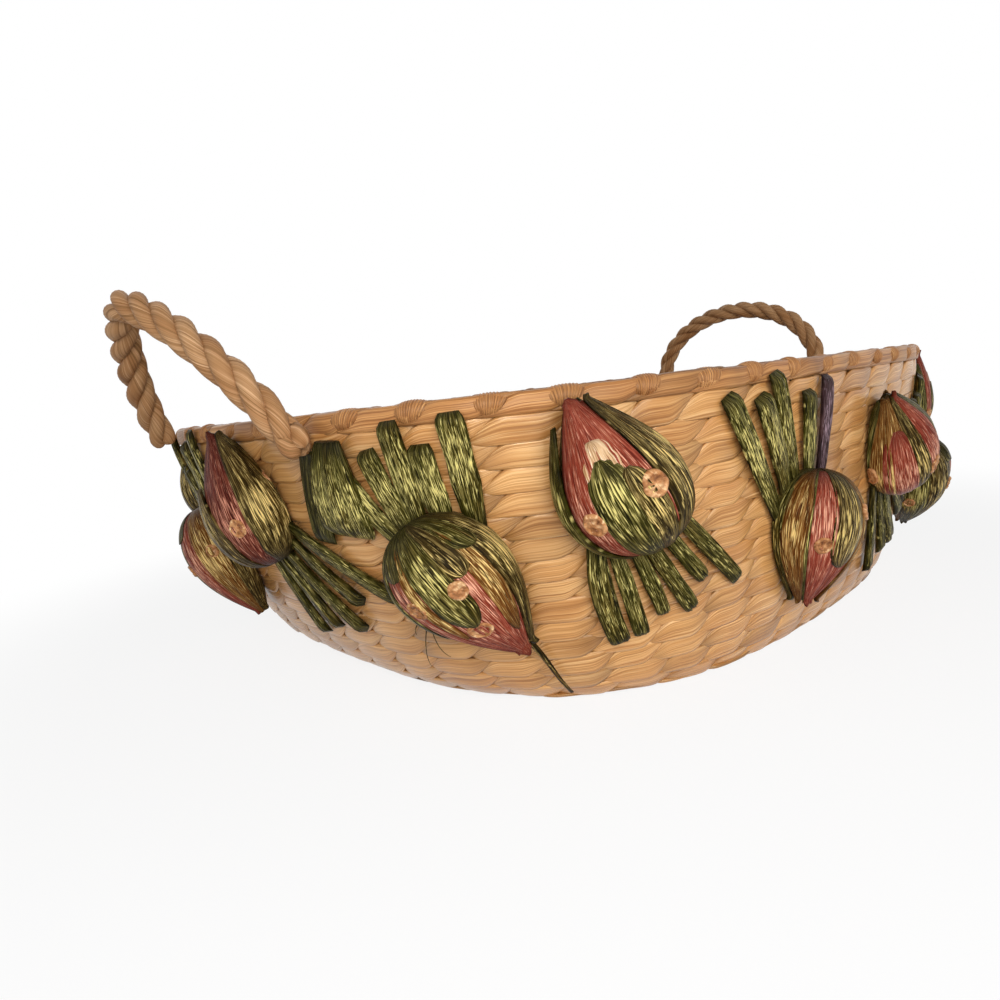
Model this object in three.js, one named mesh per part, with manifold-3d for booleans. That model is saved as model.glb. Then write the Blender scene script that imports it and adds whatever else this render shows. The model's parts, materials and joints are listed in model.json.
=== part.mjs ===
// Oval casserole basket: twined rows on hidden stakes, a rolled rim, two rope handles,
// and raffia bulbs with leaf fans sewn round the outside.
// Millimetres, +Z up. The origin is the middle of the base, on the surface it stands on.
// X runs along the oval, from the left handle at -X to the right handle at +X.
import * as THREE from 'three';
import { mergeVertices } from 'three/addons/utils/BufferGeometryUtils.js';
import Module from 'manifold-3d';

// Fit
const CLEARANCE = 0.3;
const SEAT_GAP = 0.6;          // under a curved piece, so that its flat facets stay off the wall

// Basket wall
const RIM_LENGTH = 425;        // outside, over the top of the wall
const RIM_WIDTH = 352;
const BASKET_HEIGHT = 121;
const END_FLARE = 55.5;        // how far each end leans out between base and rim
const SIDE_FLARE = 22;
const OVAL_POWER = 2.9;        // 2 is an ellipse, more is squarer
const FLARE_POWER = 0.464;     // under 1, the wall curves up from the base
const WALL_THICKNESS = 7;
const WALL_FOOT = 1;           // the first row starts this far above the surface
const ROW_COUNT = 14;
const ROW_BULGE = 1.2;         // each row is this much fatter in its middle
const BASE_THICKNESS = 7;
const RIM_DIAMETER = 9;
const RIM_SIDES = 8;
const RIM_PROUD = 0.2;         // the rim roll stands this far out from the wall

// Stakes, hidden in the weave
const STAKE_COUNT = 8;
const STAKE_WIDTH = 2.4;
const STAKE_OVERLAP = 6;       // each stake runs this far past the middle of the base
const FACETS_PER_STAKE = 4;    // flat stretches of the faceted oval

// Rope handles
const ROPE_DIAMETER = 12.9;
const HANDLE_SPAN = 134;       // between the rope's two feet, middle to middle
const FOOT_DROP = 6;           // the feet turn this far below the top of the rim
const ROPE_SIDES = 8;
const ROPE_STEPS = 18;
const LEFT_HANDLE = { end: -1, height: 61, power: 1.45, lean: 25 };
const RIGHT_HANDLE = { end: 1, height: 50, power: 2.05, lean: 2 };

// Bulb ornaments: pairs of one bulb with its tip up and one with its tip down
const PAIR_COUNT = 8;
const BULB_LENGTH = 60;
const BULB_WIDTH = 44;
const BULB_DEPTH = 24;
const BULB_AXIS = 6;           // height of a bulb's middle line above the wall
const BULB_SEGMENTS = 10;
const BULB_OUTLINE = [         // share of half the width, share of the length
  [0, -0.5], [0.45, -0.45], [0.84, -0.3], [1, -0.08],
  [0.86, 0.14], [0.54, 0.32], [0.22, 0.44], [0, 0.5],
];
// Start is a share of the way round, belowRim is measured down the wall, turns are from straight up.
// Sewn on by hand, so alternate pairs sway to either side and some are nudged along, up and by a turn.
const TIP_UP = {
  start: 0.512,
  belowRim: 29.5,
  turn: -15,
  sway: 4,
  fanTurn: 155,
  nudges: [[0, 0, 0], [0, 0, 0], [21, -13, -26], [0, 0, 0]],
};
const TIP_DOWN = {
  start: 0.592,
  belowRim: 68,
  turn: 169,
  sway: -17,
  fanTurn: -15,
  nudges: [[-1, 4, 0], [-7, -4, 0], [6, -8, 0], [-4, 3, -21]],
};

// Leaf fans, spread round the root end of each bulb
const LEAF_COUNT = 5;
const LEAF_STEP = 13;          // degrees between neighbouring leaves, seen from the bulb's middle
const LEAF_WIDTH = 8;
const LEAF_THICKNESS = 2.6;
const LEAF_GAP = 1;            // from the bulb's root end
const LEAF_LENGTH = 28;
const LEAF_SPLAY = 3;          // extra length for each step away from the middle leaf
const LEAF_TIP_LEAST = 2;      // shortest free tip beyond the notches between leaves
const REACH_STEP = 2;

// One fan's first leaf ends in a wide fold, tied at its top. Places are right of and above its bulb's
// middle. The outline gives the way up, the share of the width and the share of the depth.
const FOLDED_LEAF = {
  ornament: 2,
  foot: [-45, 17],
  top: [-40, 50],
  width: 30,
  depth: 7,
  outline: [[0, 0.6, 0.5], [0.12, 0.95, 0.85], [0.35, 1, 1], [0.7, 0.7, 0.8], [1, 0.42, 0.5]],
  sides: 6,
};

const CURVE_STEPS = 2000;      // for measuring along the rim and up the wall

const wasm = await Module();
wasm.setup();

const basket = new THREE.Group();

function degrees(value) {
  return THREE.MathUtils.degToRad(value);
}

function straw(color, roughness) {
  return new THREE.MeshStandardMaterial({ color, roughness, metalness: 0 });
}

function addMesh(parent, name, geometry, material) {
  const mesh = new THREE.Mesh(geometry, material);
  mesh.name = name;
  parent.add(mesh);
}

// Closed geometry to a solid for joining and cutting, and back
function toSolid(geometry) {
  const bare = geometry.clone();
  bare.deleteAttribute('normal');
  bare.deleteAttribute('uv');
  const merged = mergeVertices(bare);
  return new wasm.Manifold(new wasm.Mesh({
    numProp: 3,
    vertProperties: merged.attributes.position.array,
    triVerts: new Uint32Array(merged.index.array),
  }));
}

function toGeometry(solid) {
  const mesh = solid.getMesh();
  const geometry = new THREE.BufferGeometry();
  geometry.setAttribute('position', new THREE.BufferAttribute(new Float32Array(mesh.vertProperties), 3));
  geometry.setIndex(new THREE.BufferAttribute(new Uint32Array(mesh.triVerts), 1));
  geometry.computeVertexNormals();
  return geometry;
}

function join(solids) {
  return solids.reduce((whole, solid) => whole.add(solid));
}

// A closed solid through equal rings of points: a loop, or a run with flat ends.
// The two halves of a ring are split along mirrored diagonals, so stacked rings match.
function loft(rings, loop) {
  const size = rings[0].length;
  const faces = [];
  const bands = loop ? rings.length : rings.length - 1;
  for (let i = 0; i < bands; i++) {
    const here = i * size;
    const next = ((i + 1) % rings.length) * size;
    for (let j = 0; j < size; j++) {
      const k = (j + 1) % size;
      if (j < size / 2) {
        faces.push(here + j, next + k, here + k, here + j, next + j, next + k);
      } else {
        faces.push(here + j, next + j, here + k, here + k, next + j, next + k);
      }
    }
  }
  const end = (rings.length - 1) * size;
  for (let j = 1; !loop && j < size - 1; j++) {
    faces.push(0, j, j + 1, end, end + j + 1, end + j);
  }
  const geometry = new THREE.BufferGeometry().setFromPoints(rings.flat());
  geometry.setIndex(faces);
  geometry.computeVertexNormals();
  return geometry;
}

// The outside of the wall: an oval at each height, wider towards the rim
function spread(z) {
  return 1 - (z / BASKET_HEIGHT) ** FLARE_POWER;
}

function halfLength(z) {
  return RIM_LENGTH / 2 - END_FLARE * spread(z);
}

function halfWidth(z) {
  return RIM_WIDTH / 2 - SIDE_FLARE * spread(z);
}

function rounded(value) {
  return Math.sign(value) * Math.abs(value) ** (2 / OVAL_POWER);
}

function wallSurface(angle, z) {
  const x = halfLength(z) * rounded(Math.cos(angle));
  const y = halfWidth(z) * rounded(Math.sin(angle));
  return new THREE.Vector3(x, y, z);
}

function wallFrame(angle, z) {
  const turn = 1e-3;
  const lift = 1e-2;
  const along = wallSurface(angle + turn, z).sub(wallSurface(angle - turn, z)).normalize();
  const up = wallSurface(angle, z + lift).sub(wallSurface(angle, z - lift)).normalize();
  const out = along.clone().cross(up).normalize();
  return { along, up, out };
}

function wallPoint(angle, z, out) {
  return wallSurface(angle, z).addScaledVector(wallFrame(angle, z).out, out);
}

class RimCurve extends THREE.Curve {
  getPoint(t) {
    return wallSurface(2 * Math.PI * t, BASKET_HEIGHT);
  }
}

class ProfileCurve extends THREE.Curve {
  getPoint(t) {
    const z = t * BASKET_HEIGHT;
    return new THREE.Vector3((halfLength(z) + halfWidth(z)) / 2, 0, z);
  }
}

const rimCurve = new RimCurve();
rimCurve.arcLengthDivisions = CURVE_STEPS;
const rimPerimeter = rimCurve.getLength();
const profileCurve = new ProfileCurve();
profileCurve.arcLengthDivisions = CURVE_STEPS;
const wallRise = profileCurve.getLength();

// Angle at a share of the way round the rim, from the +X end towards +Y
function angleAt(share) {
  return 2 * Math.PI * rimCurve.getUtoTmapping(share - Math.floor(share));
}

// Height of a point that lies some way up the wall, measured along its curve
function heightAt(rise) {
  const share = Math.min(Math.max(rise / wallRise, 0), 1);
  return profileCurve.getPointAt(share).z + Math.max(rise - wallRise, 0);
}

function perimeterAt(z) {
  const rimSize = RIM_LENGTH + RIM_WIDTH;
  return rimPerimeter * 2 * (halfLength(z) + halfWidth(z)) / rimSize;
}

// A spot on the wall, moved along it and up it
function moveSpot(spot, along, up) {
  const rise = spot.rise + up;
  const share = spot.share + along / perimeterAt(heightAt(rise));
  return { share, rise };
}

// A piece drawn flat, with X to the right, Y along its turn and Z outwards, bent onto the wall
function layOnWall(geometry, spot, turn) {
  const flat = new THREE.Vector3();
  const position = geometry.attributes.position;
  for (let i = 0; i < position.count; i++) {
    flat.fromBufferAttribute(position, i);
    const along = flat.x * Math.cos(turn) + flat.y * Math.sin(turn);
    const up = flat.y * Math.cos(turn) - flat.x * Math.sin(turn);
    const place = moveSpot(spot, along, up);
    const point = wallPoint(angleAt(place.share), heightAt(place.rise), Math.max(flat.z, SEAT_GAP));
    position.setXYZ(i, point.x, point.y, point.z);
  }
  return geometry;
}

const facetCount = STAKE_COUNT * FACETS_PER_STAKE;
const cornerAngles = Array.from({ length: facetCount }, (_, i) => angleAt(i / facetCount));

const rimMiddle = BASKET_HEIGHT - RIM_DIAMETER / 2;
// The last row leans out, so its inner edge is higher than its outer edge, most of all at the ends
const innerLift = -wallFrame(0, rimMiddle).out.z * WALL_THICKNESS;
const rowsTop = BASKET_HEIGHT - RIM_DIAMETER - CLEARANCE - innerLift;

// Heights of the joints between rows, evenly spaced along the curve of the wall
function rowLevels() {
  const shares = Array.from({ length: CURVE_STEPS + 1 }, (_, i) => i / CURVE_STEPS);
  const heights = shares.map((share) => profileCurve.getPointAt(share).z);
  const first = shares[heights.findIndex((z) => z >= WALL_FOOT)];
  const last = shares[heights.findIndex((z) => z >= rowsTop)];
  const levels = [];
  for (let i = 0; i <= ROW_COUNT; i++) {
    levels.push(heightAt(wallRise * (first + (last - first) * i / ROW_COUNT)));
  }
  return levels;
}

const levels = rowLevels();

// Stakes: each runs out from the middle of the base and up inside the wall
function stakeRing(centre, along, out, width) {
  const half = width / 2;
  return [[1, 1], [-1, 1], [-1, -1], [1, -1]].map(([a, b]) => (
    centre.clone().addScaledVector(along, a * half).addScaledVector(out, b * half)
  ));
}

// Middle of one flat stretch of the wall, with its directions
function facet(index, z) {
  const left = cornerAngles[index];
  const right = cornerAngles[index + 1];
  const middle = wallPoint(left, z, -WALL_THICKNESS / 2).lerp(wallPoint(right, z, -WALL_THICKNESS / 2), 0.5);
  const along = wallSurface(right, z).sub(wallSurface(left, z)).normalize();
  const out = wallFrame(left, z).out.add(wallFrame(right, z).out).normalize();
  return { middle, along, out };
}

function stake(index, width, extra) {
  const down = new THREE.Vector3(0, 0, -1);
  const first = facet(index, levels[0]);
  const edge = first.middle.setZ(BASE_THICKNESS / 2);
  const inner = edge.clone().setZ(0).setLength(STAKE_OVERLAP).negate().setZ(BASE_THICKNESS / 2);
  const rings = [stakeRing(inner, first.along, down, width), stakeRing(edge, first.along, down, width)];
  for (const z of levels.slice(1)) {
    const { middle, along, out } = facet(index, z);
    rings.push(stakeRing(middle, along, out, width));
  }
  const top = facet(index, rimMiddle);
  const ending = new THREE.Vector3().subVectors(top.middle, rings.at(-1)[0]).setLength(extra);
  rings.push(stakeRing(top.middle.add(ending), top.along, top.out, width));
  return toSolid(loft(rings, false));
}

// All stakes, with extra room round them where they are to be cut out of another piece
function stakeFrame(extra) {
  const stakes = [];
  for (let index = 0; index < facetCount; index += FACETS_PER_STAKE) {
    stakes.push(stake(index, STAKE_WIDTH + 2 * extra, extra));
  }
  return join(stakes);
}

const stakeRoom = stakeFrame(CLEARANCE);

function buildBase() {
  const outline = cornerAngles.map((angle) => {
    const corner = wallPoint(angle, levels[0], -WALL_THICKNESS).setZ(0);
    const inset = corner.length() - 2 * CLEARANCE;
    corner.setLength(inset);
    return new THREE.Vector2(corner.x, corner.y);
  });
  const plate = new THREE.ExtrudeGeometry(new THREE.Shape(outline), {
    depth: BASE_THICKNESS,
    bevelEnabled: false,
  });
  return toGeometry(toSolid(plate).subtract(stakeRoom));
}

// A point beside the joint between two rows: half the clearance above or below it
function rowEdge(angle, level, out, side) {
  const up = wallFrame(angle, level).up;
  return wallPoint(angle, level, out).addScaledVector(up, side * CLEARANCE / 2);
}

function buildRow(index) {
  const low = levels[index];
  const high = levels[index + 1];
  const rings = cornerAngles.map((angle) => [
    rowEdge(angle, low, -WALL_THICKNESS, 1),
    rowEdge(angle, low, -ROW_BULGE, 1),
    wallPoint(angle, (low + high) / 2, 0),
    rowEdge(angle, high, -ROW_BULGE, -1),
    rowEdge(angle, high, -WALL_THICKNESS, -1),
  ]);
  return toGeometry(toSolid(loft(rings, true)).subtract(stakeRoom));
}

// A point on the rim roll, some way round its section from the outermost point
function rimPoint(angle, turn) {
  const radius = RIM_DIAMETER / 2;
  const out = wallFrame(angle, rimMiddle).out.setZ(0).normalize();
  const reach = RIM_PROUD - radius + radius * Math.cos(turn);
  const point = wallSurface(angle, rimMiddle).addScaledVector(out, reach);
  return point.setZ(rimMiddle + radius * Math.sin(turn));
}

function buildRim() {
  const turns = Array.from({ length: RIM_SIDES }, (_, i) => 2 * Math.PI * i / RIM_SIDES);
  const rings = cornerAngles.map((angle) => turns.map((turn) => rimPoint(angle, turn)));
  return toGeometry(toSolid(loft(rings, true)).subtract(stakeRoom));
}

// Rope handles
class RopeArch extends THREE.Curve {
  constructor(handle) {
    super();
    this.handle = handle;
  }

  getPoint(t) {
    const angle = Math.PI * t;
    const shape = 2 / this.handle.power;
    const y = -HANDLE_SPAN / 2 * Math.sign(Math.cos(angle)) * Math.abs(Math.cos(angle)) ** shape;
    const z = this.handle.height * Math.abs(Math.sin(angle)) ** shape;
    return new THREE.Vector3(0, y, z);
  }
}

const footHeight = BASKET_HEIGHT - FOOT_DROP;

// Distance of the feet from the middle of the basket: an upright rope just clears the rim
function footReach() {
  const corners = cornerAngles.map((angle) => rimPoint(angle, 0));
  const next = corners.findIndex((corner) => corner.y > HANDLE_SPAN / 2);
  const run = new THREE.Vector3().subVectors(corners[next], corners[next - 1]);
  const share = (HANDLE_SPAN / 2 - corners[next - 1].y) / run.y;
  const stand = CLEARANCE + ROPE_DIAMETER / 2;
  return corners[next - 1].x + share * run.x + stand * run.length() / run.y;
}

function buildRope(handle) {
  const radius = ROPE_DIAMETER / 2;
  const section = new THREE.Shape().absarc(0, 0, radius, 0, 2 * Math.PI);
  const rope = toSolid(new THREE.ExtrudeGeometry(section, {
    curveSegments: ROPE_SIDES / 2,
    steps: ROPE_STEPS,
    extrudePath: new RopeArch(handle),
    bevelEnabled: false,
  }));
  const feet = [-1, 1].map((side) => {
    const ball = new THREE.SphereGeometry(radius, ROPE_SIDES, ROPE_SIDES / 2);
    return toSolid(ball.translate(0, side * HANDLE_SPAN / 2, 0));
  });
  return toGeometry(join([rope, ...feet]));
}

function addHandle(name, handle) {
  const hinge = new THREE.Group();
  hinge.position.set(handle.end * footReach(), 0, footHeight);
  hinge.rotation.y = handle.end * degrees(handle.lean);
  addMesh(hinge, name, buildRope(handle), straw(0xa07848, 0.85));
  basket.add(hinge);
}

// Bulbs and leaf fans
function buildBulb(spot, turn) {
  const radius = BULB_WIDTH / 2;
  const outline = BULB_OUTLINE.map(([side, way]) => new THREE.Vector2(side * radius, way * BULB_LENGTH));
  const bulb = new THREE.LatheGeometry(outline, BULB_SEGMENTS);
  bulb.scale(1, 1, (BULB_DEPTH - BULB_AXIS) / radius).translate(0, 0, BULB_AXIS);
  return toGeometry(toSolid(layOnWall(bulb, spot, turn)));
}

const leafStart = BULB_LENGTH / 2 + LEAF_GAP;

// A leaf that would run under a rope's foot stops short of it
function leafReach(spot, turn, length) {
  const room = (ROPE_DIAMETER + LEAF_WIDTH) / 2 + CLEARANCE;
  for (let reach = leafStart; reach < length; reach += REACH_STEP) {
    const place = moveSpot(spot, reach * Math.sin(turn), reach * Math.cos(turn));
    const z = heightAt(place.rise);
    const point = wallSurface(angleAt(place.share), z);
    const besideFoot = Math.abs(Math.abs(point.y) - HANDLE_SPAN / 2) < room;
    if (besideFoot && z > footHeight - room) {
      return reach - REACH_STEP;
    }
  }
  return length;
}

const tipShares = [0.5, 1];    // a leaf's free part has one bend, half way along

// A fan drawn flat, with its bulb's middle at the origin and its middle leaf along Y.
// Neighbouring leaves share the points of their hub and the notch where they part.
function fanOutline(spot, fanTurn) {
  const half = degrees(LEAF_STEP / 2);
  const notch = LEAF_WIDTH / 2 / Math.sin(half);
  const points = [];
  const triangles = [];
  for (let i = 0; i <= LEAF_COUNT; i++) {
    const side = degrees((i - LEAF_COUNT / 2) * LEAF_STEP);
    for (const radius of [leafStart, notch]) {
      points.push(new THREE.Vector2(radius * Math.sin(side), radius * Math.cos(side)));
    }
  }
  for (let i = 0; i < LEAF_COUNT; i++) {
    const step = i - (LEAF_COUNT - 1) / 2;
    const turn = degrees(step * LEAF_STEP);
    const length = leafStart + LEAF_LENGTH + LEAF_SPLAY * Math.abs(step);
    const reach = leafReach(spot, degrees(fanTurn) + turn, length);
    const tip = Math.max(reach, notch + LEAF_TIP_LEAST);
    const ahead = new THREE.Vector2(Math.sin(turn), Math.cos(turn));
    const across = new THREE.Vector2(ahead.y, -ahead.x).multiplyScalar(LEAF_WIDTH / 2);
    for (const reachShare of tipShares) {
      const centre = ahead.clone().multiplyScalar(notch + (tip - notch) * reachShare);
      points.push(centre.clone().sub(across), centre.clone().add(across));
    }
    const left = 2 * i;
    const right = left + 2;
    const free = points.length - 4;
    triangles.push([left, right, right + 1], [left, right + 1, left + 1]);
    triangles.push([left + 1, right + 1, free + 1], [left + 1, free + 1, free]);
    triangles.push([free, free + 1, free + 3], [free, free + 3, free + 2]);
  }
  return { points, triangles };
}

// A flat slab of triangles between two heights, with walls along its open edges
function slab({ points, triangles }, low, high) {
  const count = points.length;
  const corners = [high, low].flatMap((z) => points.map((point) => new THREE.Vector3(point.x, point.y, z)));
  const faces = [];
  const edges = new Map();
  for (const [a, b, c] of triangles) {
    faces.push(a, b, c, count + c, count + b, count + a);
    for (const [from, to] of [[a, b], [b, c], [c, a]]) {
      edges.set(`${from} ${to}`, [from, to]);
    }
  }
  for (const [from, to] of edges.values()) {
    if (!edges.has(`${to} ${from}`)) {
      faces.push(from, count + from, to, to, count + from, count + to);
    }
  }
  const geometry = new THREE.BufferGeometry().setFromPoints(corners);
  geometry.setIndex(faces);
  return geometry;
}

// The fold drawn flat: rounded on top, flat where it lies on the wall
function foldSolid(spot) {
  const { width, depth, outline, sides } = FOLDED_LEAF;
  const foot = new THREE.Vector2(...FOLDED_LEAF.foot);
  const top = new THREE.Vector2(...FOLDED_LEAF.top);
  const ahead = top.clone().sub(foot).normalize();
  const across = new THREE.Vector2(ahead.y, -ahead.x);
  const rings = outline.map(([way, wide, deep]) => {
    const centre = foot.clone().lerp(top, way);
    const ring = [];
    for (let i = 0; i <= sides; i++) {
      const turn = Math.PI * i / sides;
      const point = centre.clone().addScaledVector(across, Math.cos(turn) * wide * width / 2);
      ring.push(new THREE.Vector3(point.x, point.y, SEAT_GAP + Math.sin(turn) * deep * depth));
    }
    return ring;
  });
  return toSolid(layOnWall(loft(rings, false), spot, 0));
}

function buildFan(spot, fanTurn, folded) {
  const leaves = slab(fanOutline(spot, fanTurn), SEAT_GAP, SEAT_GAP + LEAF_THICKNESS);
  const fan = toSolid(layOnWall(leaves, spot, degrees(fanTurn)));
  return toGeometry(folded ? fan.add(foldSolid(spot)) : fan);
}

function addOrnament(number, kind, pair) {
  const label = String(number).padStart(2, '0');
  const [along, up, twist] = kind.nudges[pair % kind.nudges.length];
  const share = kind.start + pair / PAIR_COUNT + along / rimPerimeter;
  const spot = { share, rise: wallRise - kind.belowRim + up };
  const turn = degrees(kind.turn + kind.sway * (pair % 2 ? -1 : 1) + twist);
  addMesh(basket, `bulb_${label}`, buildBulb(spot, turn), straw(0x7d5a3c, 0.5));
  const fan = buildFan(spot, kind.fanTurn, number === FOLDED_LEAF.ornament);
  addMesh(basket, `leaf_fan_${label}`, fan, straw(0x47501f, 0.5));
}

addMesh(basket, 'stake_frame', toGeometry(stakeFrame(0)), straw(0x8a6a3c, 0.8));
addMesh(basket, 'base_panel', buildBase(), straw(0xb98d50, 0.8));
for (let row = 0; row < ROW_COUNT; row++) {
  const label = String(row + 1).padStart(2, '0');
  addMesh(basket, `weave_row_${label}`, buildRow(row), straw(0xc09555, 0.75));
}
addMesh(basket, 'rim_roll', buildRim(), straw(0xb4874c, 0.75));
addHandle('left_handle_rope', LEFT_HANDLE);
addHandle('right_handle_rope', RIGHT_HANDLE);
for (let pair = 0; pair < PAIR_COUNT; pair++) {
  addOrnament(2 * pair + 1, TIP_UP, pair);
  addOrnament(2 * pair + 2, TIP_DOWN, pair);
}

export default basket;
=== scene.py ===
# Looks of the oval casserole basket: twined rows, a rolled rim, rope handles and raffia bulbs.
# Metres, +Z up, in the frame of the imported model.
import json
import math

import bpy
import numpy as np
from mathutils import Matrix, Vector


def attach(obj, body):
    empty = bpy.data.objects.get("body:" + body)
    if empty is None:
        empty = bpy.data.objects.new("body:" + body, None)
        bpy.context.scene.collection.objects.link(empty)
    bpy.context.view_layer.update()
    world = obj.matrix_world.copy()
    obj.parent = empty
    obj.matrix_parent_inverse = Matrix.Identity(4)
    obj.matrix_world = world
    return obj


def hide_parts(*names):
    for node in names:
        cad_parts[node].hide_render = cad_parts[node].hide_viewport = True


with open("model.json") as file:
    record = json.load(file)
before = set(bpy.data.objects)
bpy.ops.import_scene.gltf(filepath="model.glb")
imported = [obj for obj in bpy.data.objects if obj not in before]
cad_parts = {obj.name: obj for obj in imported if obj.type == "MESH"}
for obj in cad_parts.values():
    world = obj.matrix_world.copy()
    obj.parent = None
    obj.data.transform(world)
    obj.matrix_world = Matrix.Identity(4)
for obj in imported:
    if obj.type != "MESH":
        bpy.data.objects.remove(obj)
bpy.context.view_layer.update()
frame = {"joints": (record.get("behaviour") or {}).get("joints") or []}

MM = 0.001

# Basket wall, as the solids have it
RIM_LENGTH = 425 * MM
RIM_WIDTH = 352 * MM
BASKET_HEIGHT = 121 * MM
END_FLARE = 55.5 * MM
SIDE_FLARE = 22 * MM
OVAL_POWER = 2.9
FLARE_POWER = 0.464
WALL_THICKNESS = 7 * MM
WALL_FOOT = 1 * MM
WALL_TOP = 113.4 * MM  # where the rows end and the rim begins
ROW_COUNT = 14
BASE_THICKNESS = 7 * MM
RIM_DIAMETER = 7 * MM  # of the rolled strands, without the lowest part that the rows cover
RIM_PROUD = 0.2 * MM
SEAT_GAP = 0.6 * MM
FLOOR_GAP = 0.2 * MM  # nothing is lower than this
CURVE_STEPS = 20000  # to measure round the rim and up the wall

# Twined strands
COLUMN_COUNT = 50  # stakes round the wall, which the strands are twined round
COLUMN_SHIFT = -0.0055  # share of the way round, so that the columns lie as photographed
STEPS_PER_COLUMN = 14
STRAND_SIDES = 14
STRAND_SWING = 1.6 * MM  # of a strand's middle, in front of and behind the stakes
STRAND_BULGE = 0.55 * MM  # more that it stands out over a stake
STRAND_THICKNESS = 2.3 * MM
STRAND_BIAS = 0.75  # over 0, both strands lie near the outside where they cross
STRAND_SNAP = 2.2  # how sharply a strand dives
STRAND_TILT = -0.06  # radians, so that each row's lower edge laps over the row below
STRAND_LAP = 0.2  # more half-width, in half rows, that hides under the next strand
STRAND_NEAR = math.radians(25)  # between these turns from a stake, a strand's end runs out to a point
STRAND_FAR = math.radians(150)
STRAND_FLATNESS = 5  # 2 is round in section
HIDDEN_WIDTH = 0.75  # half-width behind a stake, in half rows
DIVE_SHADE = 0.4  # a strand is darker by this where it dives
EDGE_SHADE = 0.5  # and by this at its very edges
EDGE_POWER = 20
# How much the strands differ from stake to stake
SWAY_PLAY = 0.2  # radians of the twist
LIFT_PLAY = 0.2 * MM
WIDTH_PLAY = 0.05
DEPTH_PLAY = 0.12 * MM
THICKNESS_PLAY = 0.08
TONE_PLAY = 0.2

# Base and stakes
BASE_ROW = 9.3 * MM
BASE_COLUMN = 23 * MM
BASE_LAP = 0.5 * MM  # more half-width of the base's strands, which closes the base
BASE_INSET = 0.5 * MM  # from the wall's foot, so that the base meets the lowest row
BASE_SWING = 1.8 * MM
BASE_STRAND = 2 * MM  # thickness
STAKE_WIDTH = 4.6 * MM
STAKE_THICKNESS = 1.6 * MM
STAKE_STEPS = 16
SPOKE_PLACES = (0.45, 0.7, 0.96)  # shares of the way out to the wall's foot

# Rim strands, and wrapped bands on them, one to each stake
RIM_SWING = 0.5 * MM
RIM_STRAND = 4.8 * MM  # thickness
RIM_SLACK = 0.2 * MM
BAND_SHIFT = 0.008
BAND_PLAY = 0.0012  # of a band's place, as a share of the way round
BAND_WIDTH = 14 * MM
BAND_WIDTHS = (0.75, 1.2)  # least and most, as shares
BAND_BULGE = 0.8 * MM
BAND_BULGES = (0.6, 1.5)
BAND_SLANTS = (0.1, 0.35)
BAND_SIDE_BULGE = 0.4  # share of the bulge that the sides have
BAND_SIDE_WIDTH = 0.75  # share of the width that the sides have
BAND_TUCK = 1.2 * MM  # that a band's ends go in under the strands
BAND_ROUND = 0.96
BAND_RIDGES = 12
BAND_THREAD = 0.3 * MM
BAND_SIDES = 24
BAND_END_SHADE = 0.4
BAND_GROOVE_SHADE = 0.45

# Rope handles
ROPE_DIAMETER = 12.9 * MM
ROPE_LAY = 44 * MM  # length of rope in which a strand goes once round
ROPE_STRANDS = 3
ROPE_STRAND = 0.258 * ROPE_DIAMETER  # radius
ROPE_GATHER = 0.55  # share of their swing that the strands have at the rope's ends
ROPE_LUMPS = 40
ROPE_LUMP = 0.025
ROPE_TWIST = 1.2  # of the fibres in a strand, as a slope
ROPE_SHADE = 0.55  # in the grooves between the strands
ROPE_STEPS = 220
ARCH_STEPS = 2000  # to measure along the rope
ROPE_SIDES = 14
HANDLE_SPAN = 134 * MM
FOOT_DROP = 6 * MM
FOOT_PRESS = 2.2 * MM  # how far the rim gives way at a rope foot
END_LAP = 3 * MM  # that the sewn end reaches up inside the rope
END_SHRINK = 0.97  # of the sewn end's strands, so that the rope covers them
LEFT_HANDLE = {"end": -1, "height": 61 * MM, "power": 1.45, "lean": 25, "tail": (6 * MM, 6.5 * MM)}
RIGHT_HANDLE = {"end": 1, "height": 50 * MM, "power": 2.05, "lean": 2, "tail": (2 * MM, 3 * MM)}

# Bulbs and leaf fans
PAIR_COUNT = 8
BULB_LENGTH = 60 * MM
BULB_WIDTH = 44 * MM
BULB_DEPTH = 24 * MM
BULB_AXIS = 6 * MM
BULB_FULLNESS = 1.13  # fits the widest place of the outline to the bulb's width
TIP_NARROWING = 0.75
TIP_POWER = 2.2
CORE_RIDGE = 0.25 * MM
CORE_RIDGES = 17
CORE_TWIST = 3  # radians that the ridges turn from root to tip
CORE_ENDS = (0.012, 0.988)  # the core is cut off flat there, between the root at 0 and the tip at 1
CORE_ROWS = 26
CORE_SIDES = 40
CORE_SHADE = 0.6  # towards both ends
CORE_PALEST = 0.45  # where its painted shade is least, as a share of the way from root to tip
# Start is a share of the way round and below is from the rim. Nudges are along, up and by degrees.
TIP_UP = {
    "start": 0.512,
    "below": 29.5 * MM,
    "turn": -15,
    "sway": 4,
    "disc": 4.1 * MM,
    # shine: strength of the painted highlights on this kind's leaf fans
    "shine": 0.15,
    "nudges": [(0, 0, 0), (-3 * MM, 0, -4), (21 * MM, -13 * MM, -26), (0, 0, 0)],
}
TIP_DOWN = {
    "start": 0.592,
    "below": 68 * MM,
    "turn": 169,
    "sway": -17,
    "disc": 3.3 * MM,
    # shine: strength of the painted highlights on this kind's leaf fans
    "shine": 0.85,
    "nudges": [
        (-1 * MM, 4 * MM, 0), (-7 * MM, -4 * MM, 0), (6 * MM, -8 * MM, 0), (-4 * MM, 3 * MM, -21),
    ],
}
LEAF_THICKNESS = 2.6 * MM
LEAF_ROOT = 23 * MM  # from the bulb's middle
LEAF_BEND = 0.8 * MM
LEAF_ROOT_WIDTH = 0.72
LEAF_WIDENING = 0.4  # share of a leaf's length in which it comes to its full width
LEAF_END_WIDTH = 0.66
LEAF_END = 0.1  # share of its length that is rounded off
LEAF_KNOTS = 5  # random changes along it
LEAF_RAGGED = 0.03
LEAF_LUMP = 0.06
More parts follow.
